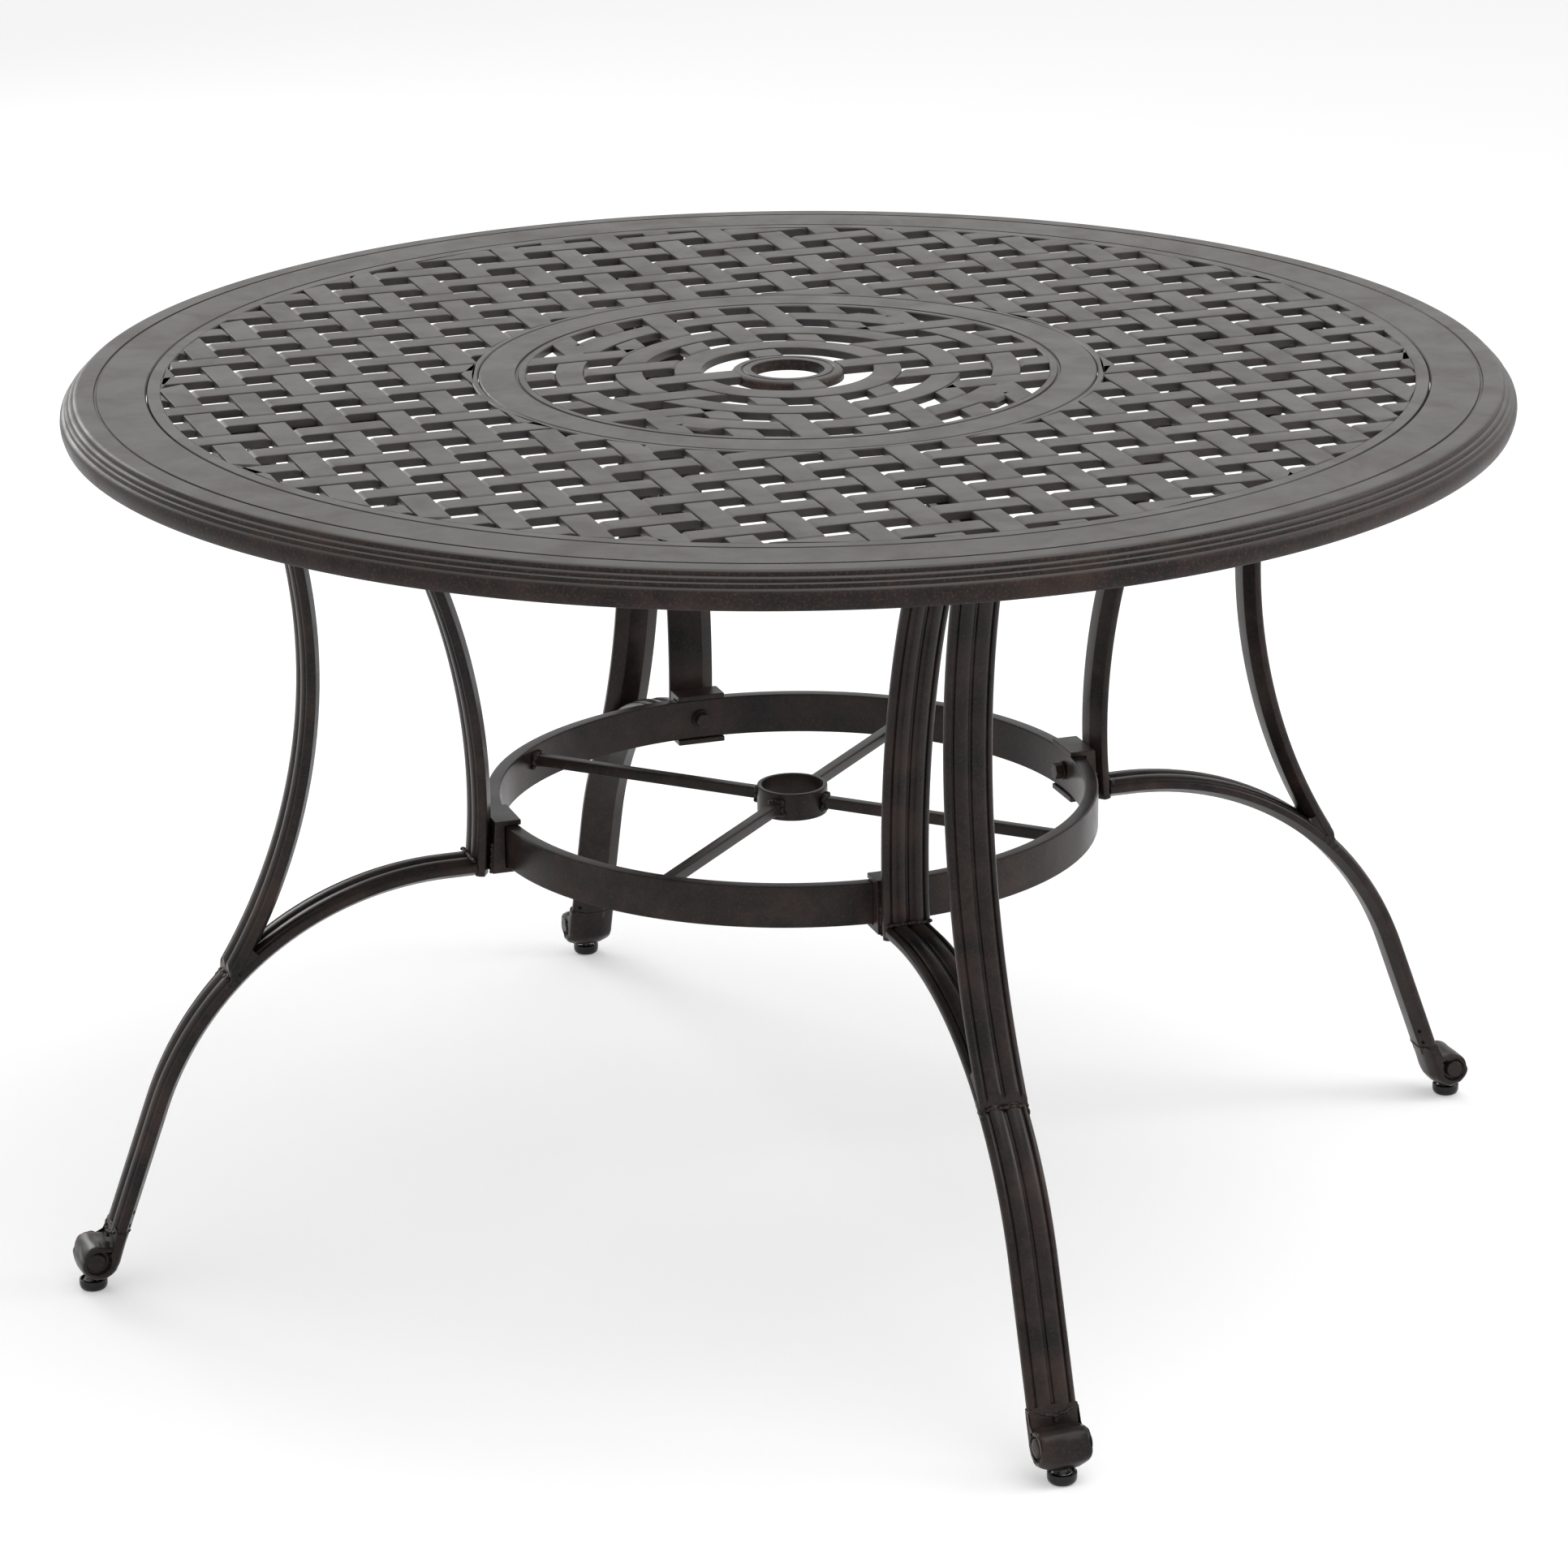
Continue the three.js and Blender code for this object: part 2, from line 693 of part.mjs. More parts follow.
function glideStudGeometry() {
  const bottom = glideTop - cupRecess + seat;
  const shoulder = bottom + studFlangeHeight;
  return turnedOnAxis([
    [0, bottom], [studFlangeRadius, bottom], [studFlangeRadius, shoulder], [studRadius, shoulder],
    [studRadius, studTop], [0, studTop],
  ], smallSegments);
}

// Hoop, hub and spokes

const hoopInner = hoopOuter - hoopWall;
const hoopBottom = archTopHeight - hoopDrop;
const hoopTop = hoopBottom + hoopHeight;
const hoopMiddle = hoopBottom + hoopHeight / 2;
const hubBottom = hoopTop - hubHeight;
const hubMiddle = hoopTop - hubHeight / 2;

// Distance from the axis to the flats of a ring that is cut into segments
const flatRadius = (radius, segments) => radius * Math.cos(halfTurn / segments);

const ring = (inner, outer, bottom, top, segments) => turned(
  [[inner, bottom], [outer, bottom], [outer, top], [inner, top]],
  segments,
);

// A round hole or shank that runs outwards at the height of the hoop's middle
const boltRod = (radius, from, to, segments) => rod(radius, from, to, segments)
  .rotateY(quarterTurn)
  .translate(0, 0, hoopMiddle);

function hoopGeometry() {
  const holes = legAngles.map((angle) => {
    const from = hoopInner - overrun;
    const hole = boltRod(boltShankRadius + seat, from, hoopOuter + overrun, screwSegments);
    return toSolid(hole.rotateZ(angle));
  });
  const band = toSolid(ring(hoopInner, hoopOuter, hoopBottom, hoopTop, ringSegments));
  return toGeometry(band.subtract(unite(holes)));
}

function hubGeometry() {
  return ring(hubDiameter / 2 - hubWall, hubDiameter / 2, hubBottom, hoopTop, hubSegments);
}

function spokeGeometry() {
  const from = hubDiameter / 2 + seat;
  const to = flatRadius(hoopInner, ringSegments) - seat;
  return new THREE.BoxGeometry(to - from, spokeSide, spokeSide).translate((from + to) / 2, 0, hubMiddle);
}

// Saddle bracket: a back plate against the inner upright, and two flanges that lap the hoop
function bracketGeometry() {
  const lap = hoopOuter - bracketLap;
  const back = hoopOuter + seat;
  const low = hoopBottom - seat;
  const high = hoopTop + seat;
  const bottom = low - bracketFlange;
  const top = high + bracketFlange;
  const outline = [
    [lap, bottom], [uprightRadius(innerUpright, bottom), bottom], [uprightRadius(innerUpright, top), top],
    [lap, top], [lap, high], [back, high], [back, low], [lap, low],
  ];
  const end = uprightRadius(innerUpright, hoopMiddle);
  const hole = toSolid(boltRod(boltShankRadius + seat, hoopOuter, end, screwSegments));
  return toGeometry(toSolid(slab(outline, bracketWidth)).subtract(uprightSpace()).subtract(hole));
}

function bracketBoltGeometry() {
  const head = flatRadius(hoopInner, ringSegments) - seat;
  const headSolid = toSolid(boltRod(boltHeadRadius, head - boltHeadHeight, head, screwSegments));
  const end = uprightRadius(innerUpright, hoopMiddle, barBackDepth) - boltTipGap;
  const shank = toSolid(boltRod(boltShankRadius, head - boltHeadHeight / 2, end, screwSegments));
  return toGeometry(headSolid.add(shank));
}

// Top plate and its screws

const plateTop = plateBottom + plateThickness;
const screwHeadBottom = plateBottom - seat - screwHeadHeight;
const plateInner = uprightRadius(innerUpright, screwHeadBottom, barBackDepth) - plateInnerReach;
const plateOuter = uprightRadius(outerUpright, plateBottom, -barLineDepth) + plateOuterReach;
const screwPlaces = [plateInner + screwInset, plateOuter - screwInset];

function topPlateGeometry() {
  const outline = [
    [plateInner, plateBottom], [plateOuter, plateBottom], [plateOuter, plateTop], [plateInner, plateTop],
  ];
  const holes = screwPlaces.map((place) => {
    const hole = rod(screwRadius + seat, plateBottom - overrun, plateTop + overrun, screwSegments);
    return toSolid(hole.translate(place, 0, 0));
  });
  return toGeometry(toSolid(slab(outline, plateWidth)).subtract(unite(holes)));
}

function plateScrewGeometry(place) {
  const seatHeight = plateBottom - seat;
  const end = plateTop + seat + screwEngagement;
  return turnedOnAxis([
    [0, screwHeadBottom], [screwHeadRadius, screwHeadBottom],
    [screwHeadRadius, seatHeight], [screwRadius, seatHeight], [screwRadius, end], [0, end],
  ], screwSegments).translate(place, 0, 0);
}

// Blind holes for those screws in the underside of the lattice, whose top is at height zero
function plateScrewHoles() {
  const top = screwEngagement + seat - castThickness - deepRibDepth;
  const bottom = -castThickness - deepRibDepth - overrun;
  return legAngles.flatMap((angle) => screwPlaces.map((place) => {
    const hole = rod(screwRadius + seat, bottom, top, screwSegments);
    return toSolid(hole.translate(place, 0, 0).rotateZ(angle));
  }));
}

// Assembly

const bronze = 0x4a3f39;
const blackPlastic = 0x1c1c1e;
const plainSteel = 0x8a8a8a;

function piece(name, geometry, colour = bronze, roughness = 0.5, metalness = 0.6) {
  const material = new THREE.MeshStandardMaterial({ color: colour, roughness, metalness });
  const mesh = new THREE.Mesh(geometry, material);
  mesh.name = name;
  return mesh;
}

function tableTop() {
  const top = new THREE.Group();
  top.position.z = tableHeight;
  top.add(
    piece("top_rim", rimGeometry()),
    piece("woven_panel", panelGeometry()),
    piece("center_medallion", medallionGeometry()),
    piece("umbrella_collar", collarGeometry()),
  );
  return top;
}

function umbrellaStay() {
  const stay = new THREE.Group();
  stay.add(piece("hoop_ring", hoopGeometry()), piece("hub_ring", hubGeometry()));
  legAngles.forEach((angle, i) => {
    const spoke = piece(`spoke_${i + 1}`, spokeGeometry());
    spoke.rotation.z = angle + halfTurn / legCount;
    stay.add(spoke);
  });
  return stay;
}

function glide(number) {
  const assembly = new THREE.Group();
  assembly.position.x = glidePlace;
  assembly.add(
    piece(`glide_cup_${number}`, glideCupGeometry(), blackPlastic, 0.35, 0),
    piece(`glide_stud_${number}`, glideStudGeometry(), plainSteel, 0.35, 0.9),
  );
  return assembly;
}

function leg(number) {
  const assembly = new THREE.Group();
  assembly.add(
    piece(`outer_upright_${number}`, outerUprightGeometry()),
    piece(`inner_upright_${number}`, innerUprightGeometry()),
    piece(`arch_rail_${number}`, archRailGeometry()),
    piece(`scroll_foot_${number}`, scrollFootGeometry()),
    piece(`hoop_bracket_${number}`, bracketGeometry()),
    piece(`bracket_bolt_${number}`, bracketBoltGeometry(), bronze, 0.4, 0.7),
    piece(`top_plate_${number}`, topPlateGeometry()),
    piece(`inner_plate_screw_${number}`, plateScrewGeometry(screwPlaces[0]), plainSteel, 0.4, 0.9),
    piece(`outer_plate_screw_${number}`, plateScrewGeometry(screwPlaces[1]), plainSteel, 0.4, 0.9),
    glide(number),
  );
  return assembly;
}

const table = new THREE.Group();
table.add(tableTop(), umbrellaStay());
legAngles.forEach((angle, i) => {
  const assembly = leg(i + 1);
  assembly.rotation.z = angle;
  table.add(assembly);
});

export default table;
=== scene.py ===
# Patio table in antique bronze with a woven top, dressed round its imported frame.
# Shapes are drawn in millimetres and turned into metres as each piece is finished.
import math
import random

import bmesh
import bpy
from mathutils import Matrix, Vector, noise


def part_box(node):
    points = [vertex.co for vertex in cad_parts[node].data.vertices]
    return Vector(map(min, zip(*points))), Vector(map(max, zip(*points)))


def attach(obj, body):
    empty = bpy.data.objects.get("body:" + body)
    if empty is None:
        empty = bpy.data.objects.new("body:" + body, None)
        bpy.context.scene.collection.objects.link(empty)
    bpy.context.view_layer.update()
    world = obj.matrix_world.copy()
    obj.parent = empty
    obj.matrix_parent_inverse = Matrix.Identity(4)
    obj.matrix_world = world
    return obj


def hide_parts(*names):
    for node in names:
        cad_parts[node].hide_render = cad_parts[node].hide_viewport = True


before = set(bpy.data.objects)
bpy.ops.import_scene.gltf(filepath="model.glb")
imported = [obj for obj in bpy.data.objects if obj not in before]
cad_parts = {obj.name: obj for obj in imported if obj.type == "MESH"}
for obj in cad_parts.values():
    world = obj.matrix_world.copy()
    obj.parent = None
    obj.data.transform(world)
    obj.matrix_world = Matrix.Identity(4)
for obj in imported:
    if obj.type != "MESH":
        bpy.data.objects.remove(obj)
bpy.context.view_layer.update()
scene = bpy.context.scene
mm = 0.001
touching = 0.01  # millimetres; points closer than this are taken as one
sharpAngle = 38  # degrees; edges that fold more than this stay crisp


# helpers for node trees
def newFinish(name):
    material = bpy.data.materials.new(name)
    material.use_nodes = True
    return material, material.node_tree, material.node_tree.nodes["Principled BSDF"]


def feed(tree, value, socket):
    # a number or colour is set on the socket, another node's output is linked to it
    if isinstance(value, bpy.types.NodeSocket):
        tree.links.new(value, socket)
    else:
        socket.default_value = value


def calculate(tree, operation, *values):
    node = tree.nodes.new("ShaderNodeMath")
    node.operation = operation
    for value, socket in zip(values, node.inputs):
        feed(tree, value, socket)
    return node.outputs[0]


# the stage: floor, light and camera
studio = {
    "turn": -18.95,  # degrees round the table from its front
    "distance": 4.499,  # metres from its middle
    "height": 1.902,
    "lookDown": 18.74,
    "yaw": 0.09,
    "lean": 0.63,
    "lens": 126.4,
    "sensorWidth": 36,
    "floorSize": 60.0,
    "floorColour": (0.8, 0.8, 0.8, 1),
    "floorRoughness": 0.9,
    "floorGlow": 0.28,
    "white": (1, 1, 1, 1),
    "worldLevel": 0.75,
    "lampsAim": (0, 0, 0.4),
    "lamps": [  # name, place, size and power
        ("overhead", (0.6, -0.8, 3.6), 2.6, 50),
        ("rightSide", (3.2, -1.2, 1.9), 1.4, 30),
        ("behindLeft", (-1.4, 4.0, 2.0), 1.8, 50),
    ],
}


def placeCamera():
    camera = bpy.data.objects.new("camera", bpy.data.cameras.new("camera"))
    scene.collection.objects.link(camera)
    camera.data.lens = studio["lens"]
    camera.data.sensor_width = studio["sensorWidth"]
    turn = Matrix.Rotation(math.radians(studio["turn"]), 4, "Z")
    aim = Matrix.Rotation(math.radians(studio["yaw"]), 4, "Z")
    tilt = Matrix.Rotation(math.radians(90 - studio["lookDown"]), 4, "X")
    lean = Matrix.Rotation(math.radians(-studio["lean"]), 4, "Z")
    stand = Matrix.Translation((0, -studio["distance"], studio["height"]))
    camera.matrix_world = turn @ stand @ aim @ tilt @ lean
    scene.camera = camera


def brightForView(tree, level):
    # the level where the surroundings are seen or mirrored, and 0 for the light they cast
    paths = tree.nodes.new("ShaderNodeLightPath").outputs
    seen = calculate(tree, "MAXIMUM", paths["Is Camera Ray"], paths["Is Glossy Ray"])
    seen = calculate(tree, "MAXIMUM", seen, paths["Is Transmission Ray"])
    return calculate(tree, "MULTIPLY", seen, level)


def layFloor():
    bm = bmesh.new()
    bmesh.ops.create_grid(bm, x_segments=1, y_segments=1, size=studio["floorSize"] / 2)
    mesh = bpy.data.meshes.new("studioFloor")
    bm.to_mesh(mesh)
    bm.free()
    floor = bpy.data.objects.new("studioFloor", mesh)
    scene.collection.objects.link(floor)
    material, tree, shader = newFinish("paperFloor")
    shader.inputs["Base Color"].default_value = studio["floorColour"]
    shader.inputs["Roughness"].default_value = studio["floorRoughness"]
    shader.inputs["Specular IOR Level"].default_value = 0
    shader.inputs["Emission Color"].default_value = studio["white"]
    glow = brightForView(tree, studio["floorGlow"])
    tree.links.new(glow, shader.inputs["Emission Strength"])
    mesh.materials.append(material)


def lightStudio():
    world = bpy.data.worlds.new("studio")
    scene.world = world
    world.use_nodes = True
    tree = world.node_tree
    background = tree.nodes["Background"]
    background.inputs["Color"].default_value = studio["white"]
    bright = brightForView(tree, 1 - studio["worldLevel"])
    total = calculate(tree, "ADD", bright, studio["worldLevel"])
    tree.links.new(total, background.inputs["Strength"])
    for name, place, size, power in studio["lamps"]:
        lamp = bpy.data.lights.new(name, "AREA")
        lamp.size = size
        lamp.energy = power
        holder = bpy.data.objects.new(name, lamp)
        holder.location = place
        aim = Vector(studio["lampsAim"]) - Vector(place)
        holder.rotation_euler = aim.to_track_quat("-Z", "Y").to_euler()
        scene.collection.objects.link(holder)


# helpers for shapes
def addPart(bm, part):
    bench = bpy.data.meshes.new("bench")
    part.to_mesh(bench)
    part.free()
    bm.from_mesh(bench)
    bpy.data.meshes.remove(bench)


def turnPart(part, angle, axis="Z"):
    turn = Matrix.Rotation(angle, 3, axis)
    bmesh.ops.rotate(part, cent=(0, 0, 0), matrix=turn, verts=part.verts)


def roundEdges(bm, edges, rounding):
    bmesh.ops.bevel(
        bm, geom=edges, offset=rounding, offset_type="OFFSET", affect="EDGES",
        segments=2, profile=0.5, material=-1,
    )


def raised(outline, height):
    return [(radius, height + z) for radius, z in outline]


def drawLoop(bm, points, rounding=0):
    # a closed outline of straight edges, with its corners rounded
    verts = [bm.verts.new(point) for point in points]
    edges = [bm.edges.new(pair) for pair in zip(verts, verts[1:] + verts[:1])]
    if rounding:
        bmesh.ops.bevel(
            bm, geom=verts, offset=rounding, offset_type="OFFSET", affect="VERTICES",
            segments=2, profile=0.5, material=-1, clamp_overlap=True,
        )
    return edges


def spinRound(part, segments):
    bmesh.ops.spin(
        part, geom=part.verts[:] + part.edges[:], cent=(0, 0, 0), axis=(0, 0, 1),
        angle=math.tau, steps=segments, use_merge=True,
    )


def turnRing(bm, outline, height, segments, rounding=0):
    part = bmesh.new()
    drawLoop(part, [(radius, 0, z) for radius, z in raised(outline, height)], rounding)
    spinRound(part, segments)
    bmesh.ops.recalc_face_normals(part, faces=part.faces)
    addPart(bm, part)


def turnSolid(bm, outline, centre, segments):
    # an open outline that starts and ends on the axis
    part = bmesh.new()
    verts = [part.verts.new((radius, 0, z)) for radius, z in outline]
    for pair in zip(verts, verts[1:]):
        part.edges.new(pair)
    spinRound(part, segments)
    bmesh.ops.remove_doubles(part, verts=part.verts, dist=touching)
    bmesh.ops.recalc_face_normals(part, faces=part.faces)
    bmesh.ops.translate(part, vec=centre, verts=part.verts)
    addPart(bm, part)


def softBox(bm, low, high, rounding):
    part = bmesh.new()
    bmesh.ops.create_cube(part, size=1)
    bmesh.ops.scale(part, vec=[b - a for a, b in zip(low, high)], verts=part.verts)
    bmesh.ops.translate(part, vec=[(a + b) / 2 for a, b in zip(low, high)], verts=part.verts)
    roundEdges(part, part.edges[:], rounding)
    addPart(bm, part)


def newVerts(extruded):
    return [item for item in extruded["geom"] if isinstance(item, bmesh.types.BMVert)]


def drawPlate(outline, half):
    # an outline of X and Z, made a solid that reaches half its thickness to either side
    part = bmesh.new()
    edges = drawLoop(part, [(x, -half, z) for x, z in outline])
    bmesh.ops.contextual_create(part, geom=edges)
    grown = bmesh.ops.extrude_face_region(part, geom=part.faces[:])
    bmesh.ops.translate(part, vec=(0, 2 * half, 0), verts=newVerts(grown))
    bmesh.ops.recalc_face_normals(part, faces=part.faces)
    return part


def newPin(radius, length, sides):
    # a closed cylinder or prism along Z, round the middle
    part = bmesh.new()
    bmesh.ops.create_cone(
        part, cap_ends=True, segments=sides, radius1=radius, radius2=radius, depth=length,
    )
    return part


def roughen(bm, closeness, height):
    for vert in bm.verts:
        vert.co += vert.normal * noise.noise(vert.co * closeness) * height


# from a drawn shape to a piece of the frame
def toMetres(bm, name):
    bmesh.ops.recalc_face_normals(bm, faces=bm.faces)
    bmesh.ops.scale(bm, vec=(mm, mm, mm), verts=bm.verts)
    mesh = bpy.data.meshes.new(name)
    bm.to_mesh(mesh)
    bm.free()
    return mesh


def showMesh(mesh, name, finish, body, nodes):
    mesh.materials.append(finishes[finish])
    mesh.shade_smooth()
    mesh.set_sharp_from_angle(angle=math.radians(sharpAngle))
    piece = bpy.data.objects.new(name, mesh)
    scene.collection.objects.link(piece)
    weighted = piece.modifiers.new("weighted", "WEIGHTED_NORMAL")
    weighted.keep_sharp = True
    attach(piece, body)
    if nodes:
        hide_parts(*nodes)


def finishPiece(bm, name, finish, nodes):
    showMesh(toMetres(bm, name), name, finish, "table", nodes)


def finishFour(bm, name, finish, nodes=(), body="table"):
    # one piece on each leg, from a shape drawn on the first leg, along +X
    mesh = toMetres(bm, name)
    for quarter in range(4):
        number = str(quarter + 1)
        copy = mesh.copy()
        copy.transform(Matrix.Rotation(quarter * math.pi / 2, 4, "Z"))
        replaced = [node + number for node in nodes]
        showMesh(copy, name + number, finish, body.replace("#", number), replaced)
    bpy.data.meshes.remove(mesh)


# the finishes
patinaStops = {  # noise value and level
    "Clouds": [(0.36, 0), (0.5, 0.35), (0.68, 1)],
    "Speckle": [(0.5, 0), (0.62, 0.3), (0.74, 1)],
}
bronzeLook = {
    "dark": (0.0085, 0.0080, 0.0082, 1),
    "brown": (0.037, 0.0245, 0.0205, 1),
    "grey": (0.032, 0.031, 0.032, 1),  # the sides of the woven strips
    "greyBrown": (0.052, 0.045, 0.042, 1),
    "copper": (0.110, 0.050, 0.035, 1),
    "paintedSheen": (0.088, 0.085, 0.081, 1),  # painted sheen: a lighter grey where the top looks up, for the overhead light it mirrors
    # the painted sheen's warmer tone, mixed in by the clouds
    "sheenWarm": (0.066, 0.058, 0.052, 1),
    "lookingUp": [(0.55, 0), (0.95, 1)],  # upward part of the normal, and how far the painted sheen covers it
    "cloudSize": 22.0,
    "speckleSize": 430.0,
    # how far the clouds warm the painted sheen
    "sheenClouds": 0.6,
    # share of the copper speckle hidden under the painted sheen on upward faces
    "speckleUnderSheen": 0.75,
    "cloudRoughness": 0.12,
    "metallic": 0.05,
    "bump": (0.15, 0.0004),  # strength, and depth in metres
}
# each bronze: roughness, share of copper speckle, how far its upward faces get the painted sheen,
# gloss and two tones
bronzeFinishes = {
    "rimBronze": (0.36, 0.8, 0.85, 0.18, "dark", "brown"),
    "weaveBronze": (0.38, 0.4, 0.95, 0.22, "grey", "greyBrown"),
    "bronze": (0.27, 0.4, 0.05, 0.19, "dark", "brown"),
    "bolt_bronze": (0.30, 0.5, 0.1, 0.2, "dark", "brown"),
}
plainFinishes = {
    "blackPlastic": {
        "tones": [(0.004, 0.004, 0.0045, 1), (0.009, 0.009, 0.010, 1)],
        "cloudSize": 60.0,
        "speckleSize": 700.0,
        "roughness": 0.22,
        "rougher": ("Clouds", 0.15),  # where, and by how much
        "metallic": 0.0,
        "gloss": 0.3,
        "bump": (0.05, 0.0002),
    },
    "plainSteel": {
        # its tones are darker than bare steel, so the glide studs look dark in the gap under the
        # casting: painted shade
        "tones": [(0.26, 0.255, 0.25, 1), (0.15, 0.145, 0.14, 1)],
        "cloudSize": 90.0,
        "speckleSize": 900.0,
        "roughness": 0.25,
        "rougher": ("Speckle", 0.2),
        "metallic": 1.0,
        "gloss": 0.5,
    },
    "hollowShade": {  # painted shade: near-black, for the dark inside of the small casting holes
        "tones": [(0.002, 0.002, 0.002, 1), (0.006, 0.005, 0.005, 1)],
        "cloudSize": 60.0,
        "speckleSize": 700.0,
        "roughness": 0.9,
        "metallic": 0.0,
        "gloss": 0.1,
    },
}


def addNode(tree, kind, **values):
    node = tree.nodes.new(kind)
    for socket, value in values.items():
        node.inputs[socket].default_value = value
    return node


def ramp(tree, source, stops):
    node = tree.nodes.new("ShaderNodeValToRGB")
    elements = node.color_ramp.elements
    for element, (place, level) in zip(elements, (stops[0], stops[-1])):
        element.position = place
        element.color = (level, level, level, 1)
    for place, level in stops[1:-1]:
        element = elements.new(place)
        element.color = (level, level, level, 1)
    tree.links.new(source, node.inputs["Fac"])
    return node.outputs["Color"]


def makePatinaGroup():
    # cloudy patches, fine speckle and a faint orange peel, as a powder coat over bronze
    group = bpy.data.node_groups.new("patina", "ShaderNodeTree")
    group.interface.new_socket("Vector", in_out="INPUT", socket_type="NodeSocketVector")
    for size in ("Cloud Size", "Speckle Size"):
        group.interface.new_socket(size, in_out="INPUT", socket_type="NodeSocketFloat")
    for mask in ("Clouds", "Speckle", "Peel"):
        group.interface.new_socket(mask, in_out="OUTPUT", socket_type="NodeSocketFloat")
    given = group.nodes.new("NodeGroupInput")
    result = group.nodes.new("NodeGroupOutput")
    noises = {
        "Clouds": addNode(group, "ShaderNodeTexNoise", Detail=6.0, Roughness=0.62, Distortion=0.4),
        "Speckle": addNode(group, "ShaderNodeTexNoise", Detail=3.0, Roughness=0.7),
        "Peel": addNode(group, "ShaderNodeTexNoise", Scale=900.0, Detail=2.0),
    }
    for texture in noises.values():
        group.links.new(given.outputs["Vector"], texture.inputs["Vector"])
    group.links.new(given.outputs["Cloud Size"], noises["Clouds"].inputs["Scale"])
    group.links.new(given.outputs["Speckle Size"], noises["Speckle"].inputs["Scale"])
    for mask, stops in patinaStops.items():
        level = ramp(group, noises[mask].outputs["Fac"], stops)
        group.links.new(level, result.inputs[mask])
    group.links.new(noises["Peel"].outputs["Fac"], result.inputs["Peel"])
    return group


def mixColours(tree, factor, first, second):
    mix = tree.nodes.new("ShaderNodeMix")
    mix.data_type = "RGBA"
    feed(tree, factor, mix.inputs[0])
    feed(tree, first, mix.inputs[6])  # the colour sockets A and B
    feed(tree, second, mix.inputs[7])
    return mix.outputs[2]


def scaled(tree, source, factor, added=0.0):
    return calculate(tree, "MULTIPLY_ADD", source, factor, added)


def placePatina(tree, group, look):
    place = tree.nodes.new("ShaderNodeTexCoord")
    patina = tree.nodes.new("ShaderNodeGroup")
    patina.node_tree = group
    patina.inputs["Cloud Size"].default_value = look["cloudSize"]
    patina.inputs["Speckle Size"].default_value = look["speckleSize"]
    tree.links.new(place.outputs["Object"], patina.inputs["Vector"])
    return patina


def addPeel(tree, patina, shader, strength, depth):
    bump = addNode(tree, "ShaderNodeBump", Strength=strength, Distance=depth)
    tree.links.new(patina.outputs["Peel"], bump.inputs["Height"])
    tree.links.new(bump.outputs["Normal"], shader.inputs["Normal"])


def upwardMask(tree):
    # 1 on faces that look up, where a lighter grey brown is painted as the sheen of the overhead
    # light
    geometry = tree.nodes.new("ShaderNodeNewGeometry")
    parts = tree.nodes.new("ShaderNodeSeparateXYZ")
    tree.links.new(geometry.outputs["Normal"], parts.inputs[0])
    return ramp(tree, parts.outputs["Z"], bronzeLook["lookingUp"])


def makeBronze(name, group):
    roughness, copperShare, sheenShare, gloss, low, high = bronzeFinishes[name]
    material, tree, shader = newFinish(name)
    patina = placePatina(tree, group, bronzeLook)
    clouds = patina.outputs["Clouds"]
    coat = mixColours(tree, clouds, bronzeLook[low], bronzeLook[high])
    # painted sheen: faces that look up are mixed towards a lighter grey brown and keep little
    # copper speckle
    up = upwardMask(tree)
    sheenClouds = scaled(tree, clouds, bronzeLook["sheenClouds"])
    sheenColour = mixColours(tree, sheenClouds, bronzeLook["paintedSheen"], bronzeLook["sheenWarm"])
    base = mixColours(tree, scaled(tree, up, sheenShare), coat, sheenColour)
    speckle = scaled(tree, patina.outputs["Speckle"], copperShare)
    kept = scaled(tree, up, -bronzeLook["speckleUnderSheen"], 1.0)
    copper = calculate(tree, "MULTIPLY", speckle, kept)
    colour = mixColours(tree, copper, base, bronzeLook["copper"])
    tree.links.new(colour, shader.inputs["Base Color"])
    uneven = scaled(tree, clouds, bronzeLook["cloudRoughness"], roughness)
    tree.links.new(uneven, shader.inputs["Roughness"])
    shader.inputs["Metallic"].default_value = bronzeLook["metallic"]
    shader.inputs["Specular IOR Level"].default_value = gloss
    addPeel(tree, patina, shader, *bronzeLook["bump"])
    return material


def makePlain(name, group):
    look = plainFinishes[name]
    material, tree, shader = newFinish(name)
    patina = placePatina(tree, group, look)
    colour = mixColours(tree, patina.outputs["Clouds"], *look["tones"])
    tree.links.new(colour, shader.inputs["Base Color"])
    roughness = look["roughness"]
    if "rougher" in look:
        mask, share = look["rougher"]
        roughness = scaled(tree, patina.outputs[mask], share, roughness)
    feed(tree, roughness, shader.inputs["Roughness"])
    shader.inputs["Metallic"].default_value = look["metallic"]
    shader.inputs["Specular IOR Level"].default_value = look["gloss"]
    if "bump" in look:
        addPeel(tree, patina, shader, *look["bump"])
    return material


patinaGroup = makePatinaGroup()
finishes = {name: makeBronze(name, patinaGroup) for name in bronzeFinishes}
finishes["black_plastic"] = makePlain("blackPlastic", patinaGroup)
finishes["steel"] = makePlain("plainSteel", patinaGroup)
finishes["hollow"] = makePlain("hollowShade", patinaGroup)
print("finishes made")

